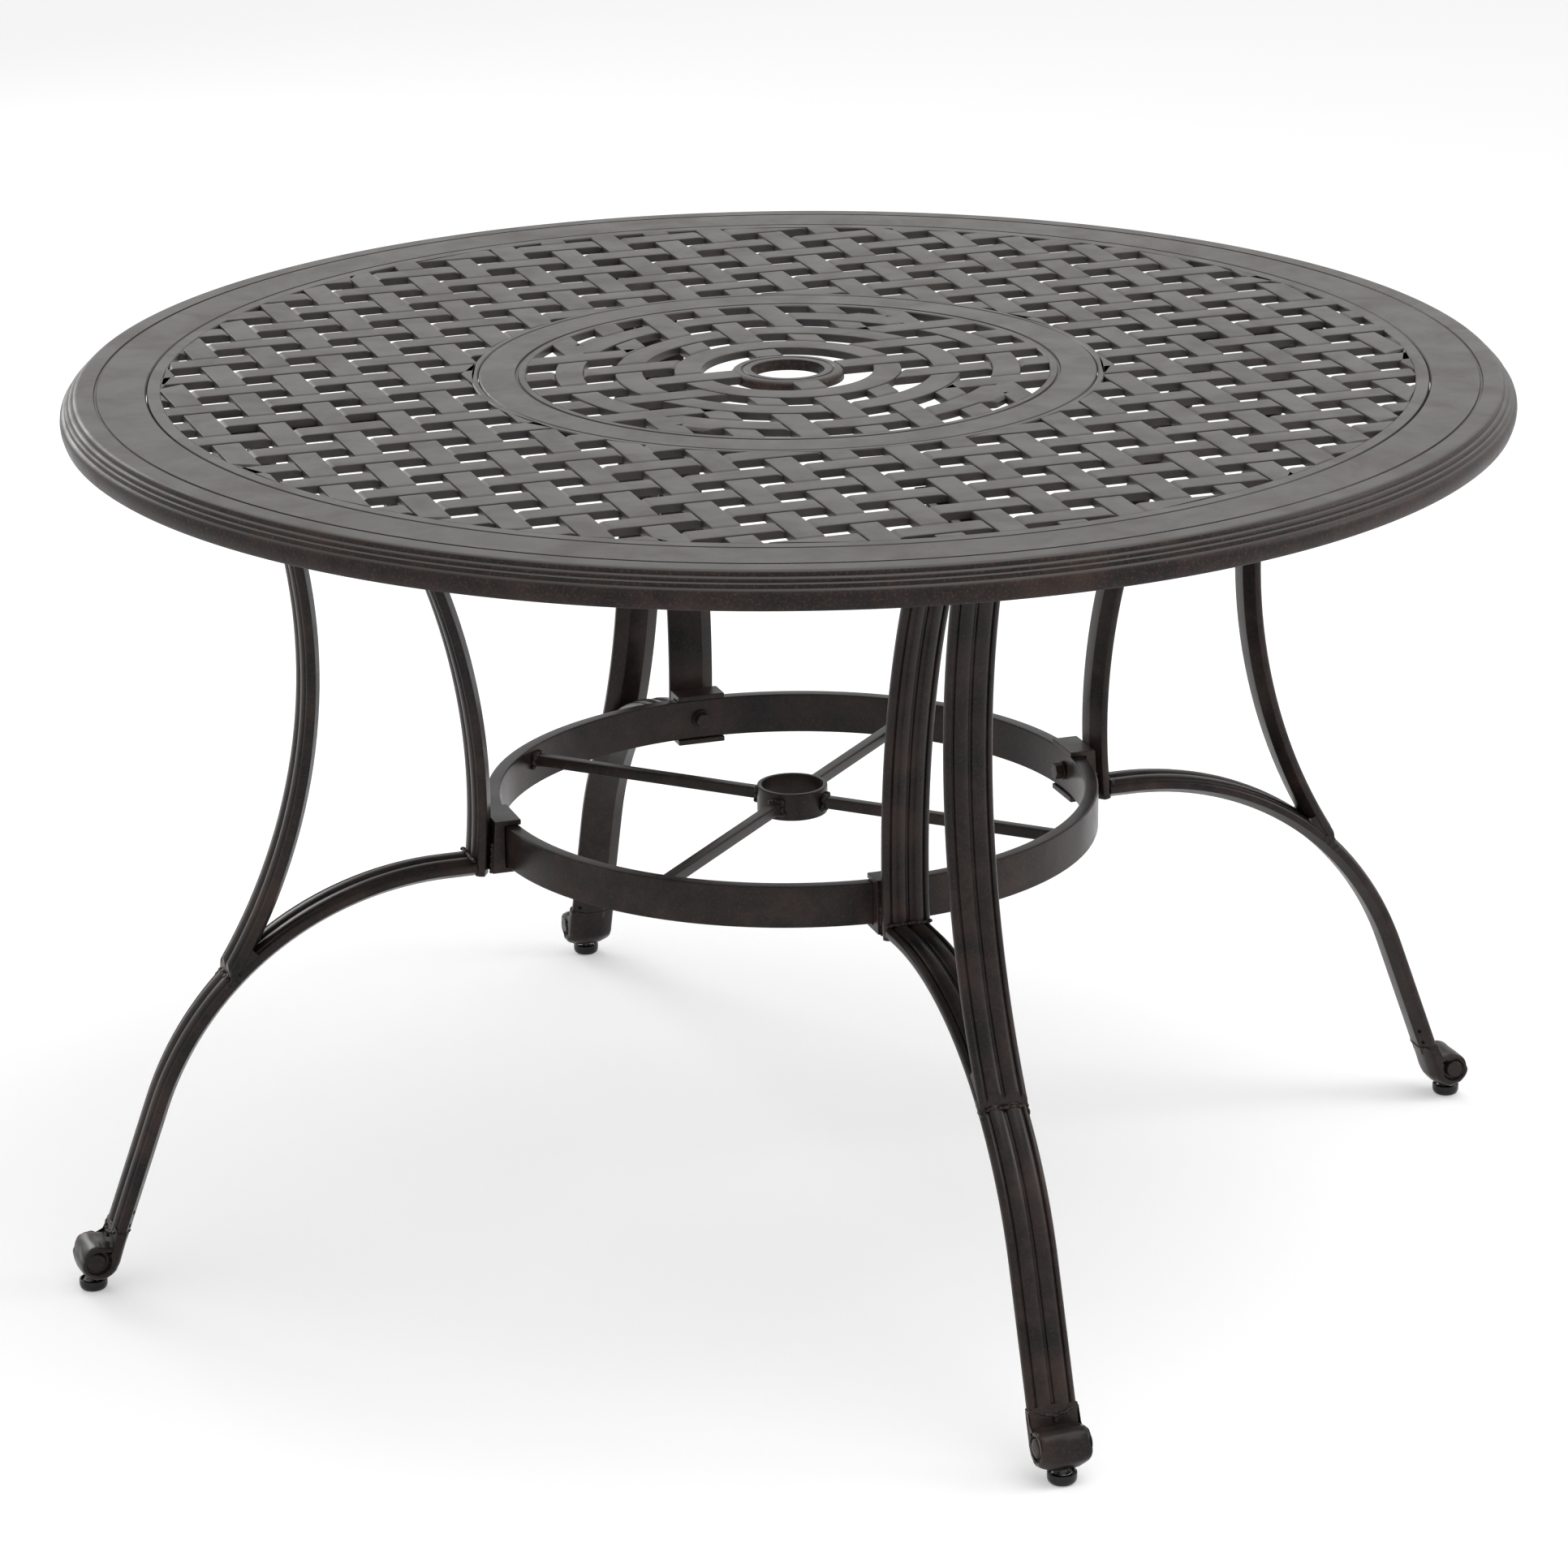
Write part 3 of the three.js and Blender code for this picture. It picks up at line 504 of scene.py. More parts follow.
# the rim of the top
top = {"height": 745, "segments": 240}
rim = {
    "outline": [  # radius, and height from the top's face, as in the outlines below
        (537.3, -7), (537.3, -1.4), (538.6, 0), (578.1, 0), (578.7, -1.2), (580.3, -1.2),
        (580.9, 0), (594.2, 0), (596.6, -0.5), (597.9, -1.7), (598.4, -3.4), (598.7, -4.5),
        (600.4, -4.7), (601.7, -5.5), (602.3, -6.8), (602.4, -8.1), (603.6, -8.3), (604.8, -8.8),
        (605.3, -9.9), (605.5, -11.9), (607.0, -12.6), (608.4, -14.2), (609.2, -16.7),
        (609.5, -19.7), (609.2, -22.6), (608.4, -25.6), (607.4, -28.2), (606.4, -29),
        (602.4, -29), (601.2, -28), (597.8, -14), (595, -8.4), (592, -7.2),
    ],
}


def makeRim():
    bm = bmesh.new()
    turnRing(bm, rim["outline"], top["height"], top["segments"])
    finishPiece(bm, "mouldedRim", "rimBronze", ["top_rim"])


# the woven lattice
weave = {
    "pitch": 50,
    "width": 23.5,
    "thickness": 6.8,
    "edgeRound": 1.5,
    "endRun": 4.5,  # over which a strip dips before it goes under another
    "endDrop": 2.4,
    "dropCurve": 1.6,
    "dipCuts": (1, 0.65, 0.3),  # shares of the run at which the strip is cut so that it can bend
    "overlap": 1.0,
    "shortest": 3,
    "crossLift": 0.08,  # keeps the undersides of crossing strips out of one plane
    "outerEnd": 525.5,
    "innerEnd": 265.8,
    "outerLip": [(525, -6.8), (525, -0.9), (525.8, 0), (535.8, 0), (536.7, -1.2), (536.7, -6.8)],
    "innerLip": [
        (260.6, -6.8), (260.6, -1.2), (261.7, 0), (265.5, 0), (266.3, -0.9), (266.3, -6.8),
    ],
    "ribEvery": 3,
    "ribWidth": 15.5,
    "ribDepth": 1.4,
    "ribSink": 0.5,  # how far a rib reaches up into its strip
    "ribRound": 0.9,
}


def onUnderside(vert):
    return vert.co.z < touching - weave["thickness"]


def weaveBar(length, dipsAtStart=True, dipsAtEnd=True, cuts=0):
    # a strip along X from 0 to its length, its top at height 0
    bm = bmesh.new()
    bmesh.ops.create_cube(bm, size=1)
    bmesh.ops.translate(bm, vec=(0.5, 0, -0.5), verts=bm.verts)
    bmesh.ops.scale(bm, vec=(length, weave["width"], weave["thickness"]), verts=bm.verts)
    sides = [
        edge for edge in bm.edges
        if all(v.co.z > -touching for v in edge.verts) and edge.verts[0].co.y == edge.verts[1].co.y
    ]
    roundEdges(bm, sides, weave["edgeRound"])
    run = weave["endRun"] + weave["overlap"]
    places = [length * (i + 1) / (cuts + 1) for i in range(cuts)]
    if dipsAtStart:
        places += [run * share for share in weave["dipCuts"]]
    if dipsAtEnd:
        places += [length - run * share for share in weave["dipCuts"]]
    for place in places:
        bmesh.ops.bisect_plane(
            bm, geom=bm.verts[:] + bm.edges[:] + bm.faces[:],
            plane_co=(place, 0, 0), plane_no=(1, 0, 0),
        )
    for vert in bm.verts:
        if onUnderside(vert):
            continue
        near = vert.co.x if dipsAtStart else run
        far = length - vert.co.x if dipsAtEnd else run
        share = 1 - min(near, far, run) / run
        vert.co.z -= weave["endDrop"] * share ** weave["dropCurve"]
    return bm


def isOver(column, row):
    return (column + row) % 2 == 0


def holdInRing(verts, along, inner, outer):
    # slides points along their strip until they lie between two circles; False if little is left
    across = 1 - along
    side = 1 if sum(v.co[along] for v in verts) >= 0 else -1
    for vert in verts:
        offset = vert.co[across]
        if abs(offset) >= outer:
            return False
        place = min(side * vert.co[along], math.sqrt(outer ** 2 - offset ** 2))
        if abs(offset) < inner:
            place = max(place, math.sqrt(inner ** 2 - offset ** 2))
        vert.co[along] = side * place
    places = [v.co[along] for v in verts]
    return max(places) - min(places) > weave["shortest"]


def makeLattice():
    # at each crossing only the strip that lies on top is drawn, and its ends dip under the next
    bm = bmesh.new()
    pitch = weave["pitch"]
    half = pitch - weave["width"] / 2 + weave["overlap"]
    strip = weaveBar(2 * half)
    bench = bpy.data.meshes.new("bench")
    strip.to_mesh(bench)
    strip.free()
    count = math.ceil(weave["outerEnd"] / pitch)
    for column in range(-count, count + 1):
        for row in range(-count, count + 1):
            reach = math.hypot(column, row) * pitch
            if reach > weave["outerEnd"] + half or reach < weave["innerEnd"] - half:
                continue
            alongY = isOver(column, row)
            part = bmesh.new()
            part.from_mesh(bench)
            bmesh.ops.translate(part, vec=(-half, 0, 0), verts=part.verts)
            if alongY:
                turnPart(part, math.pi / 2)
                for vert in filter(onUnderside, part.verts):
                    vert.co.z += weave["crossLift"]
            place = (column * pitch, row * pitch, top["height"])
            bmesh.ops.translate(part, vec=place, verts=part.verts)
            if holdInRing(part.verts, 1 if alongY else 0, weave["innerEnd"], weave["outerEnd"]):
                addPart(bm, part)
            else:
                part.free()
    bpy.data.meshes.remove(bench)
    for lip in ("outerLip", "innerLip"):
        turnRing(bm, weave[lip], top["height"], top["segments"])
    addRibs(bm)
    finishPiece(bm, "wovenLattice", "weaveBronze", ["woven_panel"])


def addRibs(bm):
    # deeper ribs under every third strip
    outer = weave["outerEnd"]
    inner = weave["innerEnd"]
    count = int(outer / weave["pitch"] / weave["ribEvery"])
    for i in range(-count, count + 1):
        offset = i * weave["ribEvery"] * weave["pitch"]
        end = math.sqrt(outer ** 2 - offset ** 2)
        start = math.sqrt(inner ** 2 - offset ** 2) if abs(offset) < inner else 0
        spans = [(-end, -start), (start, end)] if start else [(-end, end)]
        for low, high in spans:
            addRib(bm, low, high, offset)


def addRib(bm, low, high, offset):
    # one rib along X and its twin along Y
    half = weave["ribWidth"] / 2
    bottom = top["height"] - weave["thickness"] - weave["ribDepth"]
    roof = top["height"] - weave["thickness"] + weave["ribSink"]
    for start, end in (
        ((low, offset - half, bottom), (high, offset + half, roof)),
        ((offset - half, low, bottom), (offset + half, high, roof)),
    ):
        softBox(bm, start, end, weave["ribRound"])


# the medallion in the middle
medallion = {
    "band": [
        (220.5, -6.8), (220.5, -0.9), (221.3, 0), (226.4, 0), (227.0, -1.6), (229.0, -1.6),
        (229.6, 0), (258.9, 0), (260.0, -1.2), (260.0, -6.8),
    ],
    "bandEdge": 220.5,
    "intoBand": 0.6,
    "firstRing": 84,
    "rings": 3,
    "bendStep": 5,  # degrees
    "stripStart": 46.5,  # just inside the collar
    "ribEnd": 222,
    "cornerDrop": 0.05,  # keeps the corner strips' tops below those of the ring
}


def ringRadius(index):
    return medallion["firstRing"] + (index - 1) * weave["pitch"]


def ringCrossings(index):
    # angles over which a straight strip lies on top of a woven ring, and whether it runs along X
    spans = []
    for strip in range(1 - index, index):
        middle = strip * weave["pitch"]
        low = math.asin((middle - weave["width"] / 2) / ringRadius(index))
        high = math.asin((middle + weave["width"] / 2) / ringRadius(index))
        if isOver(strip, index):
            spans += [(math.pi / 2 - high, math.pi / 2 - low, False)]
            spans += [(low - math.pi / 2, high - math.pi / 2, False)]
        else:
            spans += [(low, high, True), (math.pi - high, math.pi - low, True)]
    return sorted(spans)


def edgeShift(radius, vertRadius, angle, alongX):
    # turns a point so that the end of a bent strip follows the straight edge that crosses it
    if alongX:
        edge = radius * math.sin(angle)
        turn = math.asin(edge / vertRadius) - math.asin(edge / radius)
        return math.copysign(turn, math.cos(angle) * turn)
    edge = radius * math.cos(angle)
    turn = math.acos(edge / vertRadius) - math.acos(edge / radius)
    return math.copysign(turn, math.sin(angle) * turn)


def addWovenRing(bm, index):
    # bent strips that fill the ring between the straight ones on top of it
    radius = ringRadius(index)
    lap = weave["overlap"]
    spans = ringCrossings(index)
    for i, (_, start, startAlongX) in enumerate(spans):
        end, _, endAlongX = spans[(i + 1) % len(spans)]
        if i + 1 == len(spans):
            end += math.tau
        length = (end - start) * radius
        bends = int(math.degrees(end - start) / medallion["bendStep"])
        part = weaveBar(length + 2 * lap, cuts=max(2, bends))
        for vert in part.verts:
            along = (vert.co.x - lap) / length
            away = radius - vert.co.y
            turn = start + (end - start) * along
            turn += (1 - along) * edgeShift(radius, away, start, startAlongX)
            turn += along * edgeShift(radius, away, end, endAlongX)
            vert.co.x = away * math.cos(turn)
            vert.co.y = away * math.sin(turn)
        bmesh.ops.translate(part, vec=(0, 0, top["height"]), verts=part.verts)
        addPart(bm, part)


def addStretch(bm, near, far, offset, quarter, dipsNear, dipsFar, lower=0.0):
    # a straight strip between two circles, at an offset from the middle, turned by quarter turns
    lap = weave["overlap"]
    inner = near - (lap if dipsNear else 0)
    outer = far + (lap if dipsFar else medallion["intoBand"])
    low = math.sqrt(inner ** 2 - offset ** 2)
    high = math.sqrt(outer ** 2 - offset ** 2)
    part = weaveBar(high - low, dipsNear, dipsFar)
    for vert in part.verts:
        share = vert.co.x / (high - low)
        across = offset + vert.co.y
        atLow = math.sqrt(inner ** 2 - across ** 2) - low
        atHigh = math.sqrt(outer ** 2 - across ** 2) - high
        vert.co.x += low + (1 - share) * atLow + share * atHigh
        vert.co.y = across
    turnPart(part, quarter * math.pi / 2)
    bmesh.ops.translate(part, vec=(0, 0, top["height"] - lower), verts=part.verts)
    addPart(bm, part)


def addStraightStrips(bm):
    # from the band inwards, broken wherever a ring lies on top
    half = weave["width"] / 2
    for quarter in range(4):
        alongY = quarter % 2 == 1
        for strip in range(1 - medallion["rings"], medallion["rings"]):
            index = abs(strip)
            offset = strip * weave["pitch"]
            far = medallion["bandEdge"]
            dipsFar = False
            for ring in range(medallion["rings"], index, -1):
                if isOver(index, ring) == alongY:
                    continue
                addStretch(bm, ringRadius(ring) + half, far, offset, quarter, True, dipsFar)
                far = ringRadius(ring) - half
                dipsFar = True
            near = ringRadius(index) + half if index else medallion["stripStart"]
            addStretch(bm, near, far, offset, quarter, index > 0, dipsFar)


def addCornerStrips(bm):
    # the outermost strips leave the lattice straight and run into the last ring
    offset = medallion["rings"] * weave["pitch"]
    last = ringRadius(medallion["rings"])
    crossing = math.hypot(offset - weave["width"] / 2, offset)
    drop = medallion["cornerDrop"]
    for side in (-1, 1):
        for quarter in range(4):
            dips = quarter % 2 == 0
            far = crossing if dips else medallion["bandEdge"]
            addStretch(bm, last, far, side * offset, quarter, False, dips, drop)


def makeMedallion():
    bm = bmesh.new()
    turnRing(bm, medallion["band"], top["height"], top["segments"])
    for index in range(1, medallion["rings"] + 1):
        addWovenRing(bm, index)
    addStraightStrips(bm)
    addCornerStrips(bm)
    addRib(bm, medallion["stripStart"], medallion["ribEnd"], 0)
    addRib(bm, -medallion["ribEnd"], -medallion["stripStart"], 0)
    finishPiece(bm, "centreMedallion", "weaveBronze", ["center_medallion"])


# the collar round the umbrella hole
collar = {
    "outline": [
        (47.5, -8), (47.5, -4), (47.2, -2.5), (46.3, -1.2), (45.0, -0.3), (43.5, 0), (39.9, 0),
        (39.4, -0.4), (39.0, -1.2), (38.0, -1.2), (37.6, -0.4), (37.1, 0), (32.3, 0), (31.2, -0.3),
        (30.6, -1.2), (30.5, -9.5), (39, -9.5), (39, -8),
    ],
    "segments": 96,
}


def makeCollar():
    bm = bmesh.new()
    turnRing(bm, collar["outline"], top["height"], collar["segments"])
    finishPiece(bm, "umbrellaCollar", "rimBronze", ["umbrella_collar"])


# the legs
leg = {
    # half of the bar's section: across from its middle, and out from the line that it follows
    "halfSection": [
        (0.0, 2.9), (0.9, 2.9), (1.3, 4.1), (2.1, 4.8), (4.2, 5.8), (7.4, 6.3), (10.6, 5.8),
        (12.6, 4.8), (13.4, 4.0), (13.8, 2.4), (14.6, 2.3), (15.3, 3.7), (16.4, 4.2), (17.8, 3.8),
        (19.1, 2.8), (19.9, 1.4), (20.25, -0.4), (20.25, -2.5), (19.9, -3.3), (9.1, -9.3),
        (8.2, -9.7), (0, -9.7),
    ],
    # each upright: its foot, its head, its lean at the foot and where its end is cut blunt
    "outer": ((523.16, 242.77), (464.9, 731.2), 36.5, 505.66),
    "inner": ((286.1, 333.5), (389.9, 731.2), 6.7, None),
    "uprightSteps": 40,
    "spare": 14,  # drawn past the head, then cut off level
    "cutHeight": 730.9,
    "endRound": 0.9,
    "archCentre": (312.5, 66),
    "archBend": 275,
    "archSteps": 36,
    "slope": 70,  # degrees, of the straight part above the ankle
    "ankle": (609.15, 55),
    "intoFoot": 8,
    "railEnd": 289,
}


def sectionLoop(bm, place, facing):
    half = leg["halfSection"]
    section = half + [(-across, out) for across, out in reversed(half[1:-1])]
    out = Vector((math.cos(facing), 0, math.sin(facing)))
    centre = Vector((place[0], 0, place[1]))
    points = [centre + out * depth + Vector((0, across, 0)) for across, depth in section]
    return drawLoop(bm, points)


def bendBar(bm, centre, radius, start, end, facesOut, steps):
    # sweeps the section round a centre from one angle to another
    place = (centre[0] + radius * math.cos(start), centre[1] + radius * math.sin(start))
    edges = sectionLoop(bm, place, start if facesOut else start + math.pi)
    verts = list({vert for edge in edges for vert in edge.verts})
    swept = bmesh.ops.spin(
        bm, geom=verts + edges, cent=(centre[0], 0, centre[1]), axis=(0, -1, 0),
        angle=end - start, steps=steps, use_merge=False,
    )
    last = [item for item in swept["geom_last"] if isinstance(item, bmesh.types.BMEdge)]
    return edges, last


def runStraight(bm, edges, vector):
    run = bmesh.ops.extrude_edge_only(bm, edges=edges)
    bmesh.ops.translate(bm, vec=vector, verts=newVerts(run))


def closeEnds(bm):
    bmesh.ops.holes_fill(bm, edges=[edge for edge in bm.edges if edge.is_boundary], sides=0)


def uprightArc(which):
    # centre and radius of the arc that leaves its foot at a lean and ends at its head
    base, head, lean, _ = leg[which]
    chord = Vector(head) - Vector(base)
    halfSweep = math.radians(lean) + math.atan(chord.x / chord.y)
    radius = chord.length / 2 / math.sin(halfSweep)
    outwards = Vector((chord.y, -chord.x)).normalized()
    centre = (Vector(base) + Vector(head)) / 2 + outwards * radius * math.cos(halfSweep)
    return centre, radius


def cutAway(bm, place, towards):
    bmesh.ops.bisect_plane(
        bm, geom=bm.verts[:] + bm.edges[:] + bm.faces[:], plane_co=place, plane_no=towards,
        clear_outer=True,
    )


def makeUpright(which):
    base, head, _, bluntEnd = leg[which]
    centre, radius = uprightArc(which)
    start = math.pi - math.asin((base[1] - centre.y) / radius)
    end = math.pi - math.asin((head[1] + leg["spare"] - centre.y) / radius)
    bm = bmesh.new()
    bendBar(bm, centre, radius, start, end, False, leg["uprightSteps"])
    cutAway(bm, (0, 0, leg["cutHeight"]), (0, 0, 1))
    if bluntEnd:
        cutAway(bm, (bluntEnd, 0, 0), (1, 0, 0))
    closeEnds(bm)
    if bluntEnd:
        outside = bluntEnd - touching
        ends = [edge for edge in bm.edges if min(v.co.x for v in edge.verts) > outside]
        roundEdges(bm, ends, leg["endRound"])
    finishFour(bm, which + "Upright", "bronze", [which + "_upright_"])


def downLeg():
    slope = math.radians(leg["slope"])
    return Vector((math.cos(slope), -math.sin(slope)))


def outOfLeg():
    slope = math.radians(leg["slope"])
    return Vector((math.sin(slope), math.cos(slope)))


def fromAnkle(out, down):
    return Vector(leg["ankle"]) + outOfLeg() * out + downLeg() * down


def makeArchRail():
    bm = bmesh.new()
    archX, archZ = leg["archCentre"]
    bend = leg["archBend"]
    knee = math.radians(90 - leg["slope"])
    first, last = bendBar(bm, leg["archCentre"], bend, knee, math.pi / 2, True, leg["archSteps"])
    runStraight(bm, last, (leg["railEnd"] - archX, 0, 0))
    low = fromAnkle(0, leg["intoFoot"])
    kneeX = archX + bend * math.cos(knee)
    kneeZ = archZ + bend * math.sin(knee)
    runStraight(bm, first, (low.x - kneeX, 0, low.y - kneeZ))
    closeEnds(bm)
    finishFour(bm, "archRail", "bronze", ["arch_rail_"])


# the cast scroll feet
foot = {
    "rollCentre": (630.5, 31.3),
    "rollRadius": 13,
    "rollStart": 112,  # degrees, where the roll's top leaves the crease
    "curlEnd": -170,  # and where the curl meets the back
    "curlGrowth": 5.0,
    "curlPower": 0.5,
    "arcSteps": 44,
    # out from the bar's line and down from the ankle: up the back, then down the front
    "neck": [(-5.4, 8, 1), (-5.4, 0, 1), (4.8, 0, 0.6), (4.4, 4.5, 0.6), (3.4, 9, 0.5)],
    "crease": (617.6, 42.4),
    "crown": 3.6,  # how far the middle stands out past the edges
    "crownGrowth": 2.5,  # how soon the crown is full round the curl
    # across from the middle, drawn in from the outline, share of the crown
    "slices": [(0, 0, 1), (7, 0, 0.97), (12, 0, 0.75), (16, 0, 0.35), (18.6, 0.2, 0.1),
               (20.2, 1.0, 0), (21.1, 2.3, 0), (21.4, 3.6, 0)],
    # across, radius round the roll's centre, share of the scroll's groove
    "scroll": [(21.4, 11.8, 0), (20.9, 11.2, 0.4), (20.9, 10.2, 1), (20.9, 8.8, 1),
               (21.2, 7.9, 0.3), (21.9, 7.3, 0), (22.2, 6.6, 0), (22.3, 3.2, 0)],
    "grooveDepth": 3.2,
    "grooveFade": (0.2, 0.55, 0.45, 0.7),  # angle in radians at its shallowest, mean, swing, power
    "bossShift": 5.5,  # one end's boss sits further out than the other's
    "lumps": (0.15, 0.9),  # how close and how high the casting's unevenness
    # the casting's small holes are drawn as near-black discs of painted shade
    "holes": [(6, 14.5), (18, 14.5)],  # up the leg from the ankle, across
    "hole": (1.8, 0.8, 14),  # radius, depth and sides
    "holeSink": 6.3,  # from the bar's line to the slanted back
    "holeFacing": (0.874, 0.486),  # backwards and sideways
}


def footOutline():
    # round the casting's side: over the roll, underneath, up the back and down the front,
    # each point with its share of the crown and its angle in the scroll on the end
    points = []
    for i in range(foot["arcSteps"] + 1):
        angle = foot["rollStart"] + (foot["curlEnd"] - foot["rollStart"]) * i / foot["arcSteps"]
        under = max(0, angle / foot["curlEnd"])
        radius = foot["rollRadius"] + foot["curlGrowth"] * under ** foot["curlPower"]
        turn = math.radians(angle)
        place = Vector(foot["rollCentre"]) + Vector((math.cos(turn), math.sin(turn))) * radius
        points.append((place, min(1, under * foot["crownGrowth"]), turn))
    neck = [(fromAnkle(out, down), crown) for out, down, crown in foot["neck"]]
    neck.append((Vector(foot["crease"]), 0))
    gap = foot["rollStart"] - 360 - foot["curlEnd"]
    for i, (place, crown) in enumerate(neck):
        angle = foot["curlEnd"] + gap * (i + 1) / (len(neck) + 1)
        points.append((place, crown, math.radians(angle)))
    return points


def footSlice(bm, across, drawnIn, crownShare):
    outline = footOutline()
    points = []
    for i, (place, crown, _) in enumerate(outline):
        along = outline[(i + 1) % len(outline)][0] - outline[i - 1][0]
        inwards = Vector((along.y, -along.x)).normalized()
        shift = drawnIn - crown * crownShare * foot["crown"]
        points.append((place.x + inwards.x * shift, across, place.y + inwards.y * shift))
    return drawLoop(bm, points)


def scrollSlice(bm, across, radius, grooveShare):
    # round the roll's centre; the groove is deepest on the neck's side and fades at the front
    centre = Vector(foot["rollCentre"])
    if across > 0:
        centre.x += foot["bossShift"] * (1 - radius / foot["rollRadius"])
    shallowest, mean, swing, power = foot["grooveFade"]
    points = []
    for _, _, turn in footOutline():
        fade = max(0, mean - swing * math.cos(turn - shallowest)) ** power
        depth = foot["grooveDepth"] * grooveShare * fade
        y = across - math.copysign(depth, across)
        points.append((centre.x + radius * math.cos(turn), y, centre.y + radius * math.sin(turn)))
    return drawLoop(bm, points)


def makeScrollFoot():
    bm = bmesh.new()
    loops = []
    for across, radius, groove in reversed(foot["scroll"]):
        loops.append(scrollSlice(bm, -across, radius, groove))
    for across, drawnIn, crown in reversed(foot["slices"][1:]):
        loops.append(footSlice(bm, -across, drawnIn, crown))
    for across, drawnIn, crown in foot["slices"]:
        loops.append(footSlice(bm, across, drawnIn, crown))
    for across, radius, groove in foot["scroll"]:
        loops.append(scrollSlice(bm, across, radius, groove))
    for one, other in zip(loops, loops[1:]):
        bmesh.ops.bridge_loops(bm, edges=one + other)
    closeEnds(bm)
    bmesh.ops.recalc_face_normals(bm, faces=bm.faces)
    bm.normal_update()
    roughen(bm, *foot["lumps"])
    finishFour(bm, "scrollFoot", "bronze", ["scroll_foot_"])


def makeHoleShadeDiscs():
    # near-black discs of painted shade, for the small holes in the slanted back of the casting and
    # the bar above it
    bm = bmesh.new()
    radius, depth, sides = foot["hole"]
    back, sideways = foot["holeFacing"]
    for up, across in foot["holes"]:
        place = fromAnkle(-foot["holeSink"], -up)
        for side in (-1, 1):
            part = newPin(radius, depth, sides)
            facing = Vector((-outOfLeg().x * back, side * sideways, -outOfLeg().y * back))
            turn = facing.to_track_quat("Z", "Y").to_matrix()
            bmesh.ops.rotate(part, cent=(0, 0, 0), matrix=turn, verts=part.verts)
            bmesh.ops.translate(part, vec=(place.x, side * across, place.y), verts=part.verts)
            addPart(bm, part)
    finishFour(bm, "holeShadeDiscs", "hollow")


# the weld beads
weld = {
    "seed": 7,
    # the drops of a bead, as shares of its size
    "dropStep": 0.75,
    "dropSize": (0.75, 1.15),
    "dropSpread": (0.85, 1.25),
    "dropHeight": (0.7, 1.0),
    "dropWander": (-0.25, 0.25),
    "landing": (507.0, 267.6, 14.5, 2.1),  # x, z, half the width, size
    "innerLanding": (291, 347.5, 18, 1.9),  # where the inner upright stands on the rail
    "patch": [(502.6, 265.5, 3.9), (498.2, 269.5, 3.6), (507, 261.1, 3.3)],  # x, z, size
    "patchAcross": 19.6,
    "patchFlat": 0.4,
    "patchLumps": (0.45, 0.7),
    # metal that fills the sharp corner over the landing: from a height up to the wall and the face
    "web": (270, 294, 287.5),
    "webLift": (2.6, 3),  # out from the lines of the upright and the arch
    "webSteps": 4,
    "webHalf": 19.4,
    # round the top of the foot's neck: across, and out from the bar's line
    "neck": [(0, 5.2), (12.5, 5.0), (14.5, 3.4), (19.6, 2.8), (20.3, -2.6), (9.5, -9.2), (0, -9.6)],
    "neckSize": 1.0,
    # across, out from the bar's line and down from the ankle: they meet in a Y over the roll
    "ridge": [(15, 5.0, 2.5), (8, 6.8, 5.5), (0.5, 6.7, 7), (0.3, 5.6, 11)],
    "ridgeSize": 1.5,
    "bracket": [(276.5, 18, 336), (274.5, 18, 360)],  # the inner upright against its bracket
    "bracketSize": 1.8,
    "spokeEnds": (31.5, 250.5),  # from the middle, where the spokes meet the hub and the hoop
    "spokeSize": 2.8,
}


def addBead(bm, draw, start, end, size):
    # a row of flattened drops between two points, each laid partly over the last
    start = Vector(start)
    run = Vector(end) - start
    count = max(2, int(run.length / (size * weld["dropStep"])))
    for i in range(count + 1):
        part = bmesh.new()
        radius = size * draw.uniform(*weld["dropSize"])
        bmesh.ops.create_icosphere(part, subdivisions=2, radius=radius)
        spread = [draw.uniform(*weld["dropSpread"]) for _ in range(2)]
        stretch = (*spread, draw.uniform(*weld["dropHeight"]))
        bmesh.ops.scale(part, vec=stretch, verts=part.verts)
        wander = Vector([draw.uniform(*weld["dropWander"]) for _ in range(3)])
        bmesh.ops.translate(part, vec=start + run * i / count + wander * size, verts=part.verts)
        addPart(bm, part)


def addBeads(bm, draw, points, size):
    for start, end in zip(points, points[1:]):
        addBead(bm, draw, start, end, size)


def addLanding(bm, draw, x, z, half, size):
    addBead(bm, draw, (x, -half, z), (x, half, z), size)


def addPatch(bm, place, size):
    part = bmesh.new()
    bmesh.ops.create_icosphere(part, subdivisions=3, radius=size)
    bmesh.ops.scale(part, vec=(1, weld["patchFlat"], 1), verts=part.verts)
    bmesh.ops.translate(part, vec=place, verts=part.verts)
    part.normal_update()
    roughen(part, *weld["patchLumps"])
    addPart(bm, part)


def addWeb(bm):
    # fills the sharp corner between the outer upright's walls and the arch rail's face
    centre, radius = uprightArc("outer")
    low, wallTop, faceTop = weld["web"]
    wallLift, faceLift = weld["webLift"]
    archX, archZ = leg["archCentre"]
    wall = []
    face = []
    for i in range(weld["webSteps"] + 1):
        share = i / weld["webSteps"]
        z = low + (wallTop - low) * share
        wall.append((centre.x - math.sqrt((radius + wallLift) ** 2 - (z - centre.y) ** 2), z))
        z = low + (faceTop - low) * share
        face.append((archX + math.sqrt((leg["archBend"] + faceLift) ** 2 - (z - archZ) ** 2), z))
    addPart(bm, drawPlate(wall + face[::-1], weld["webHalf"]))


def onNeck(side, across, out, down=0):
    place = fromAnkle(out, down)
    return (place.x, side * across, place.y)


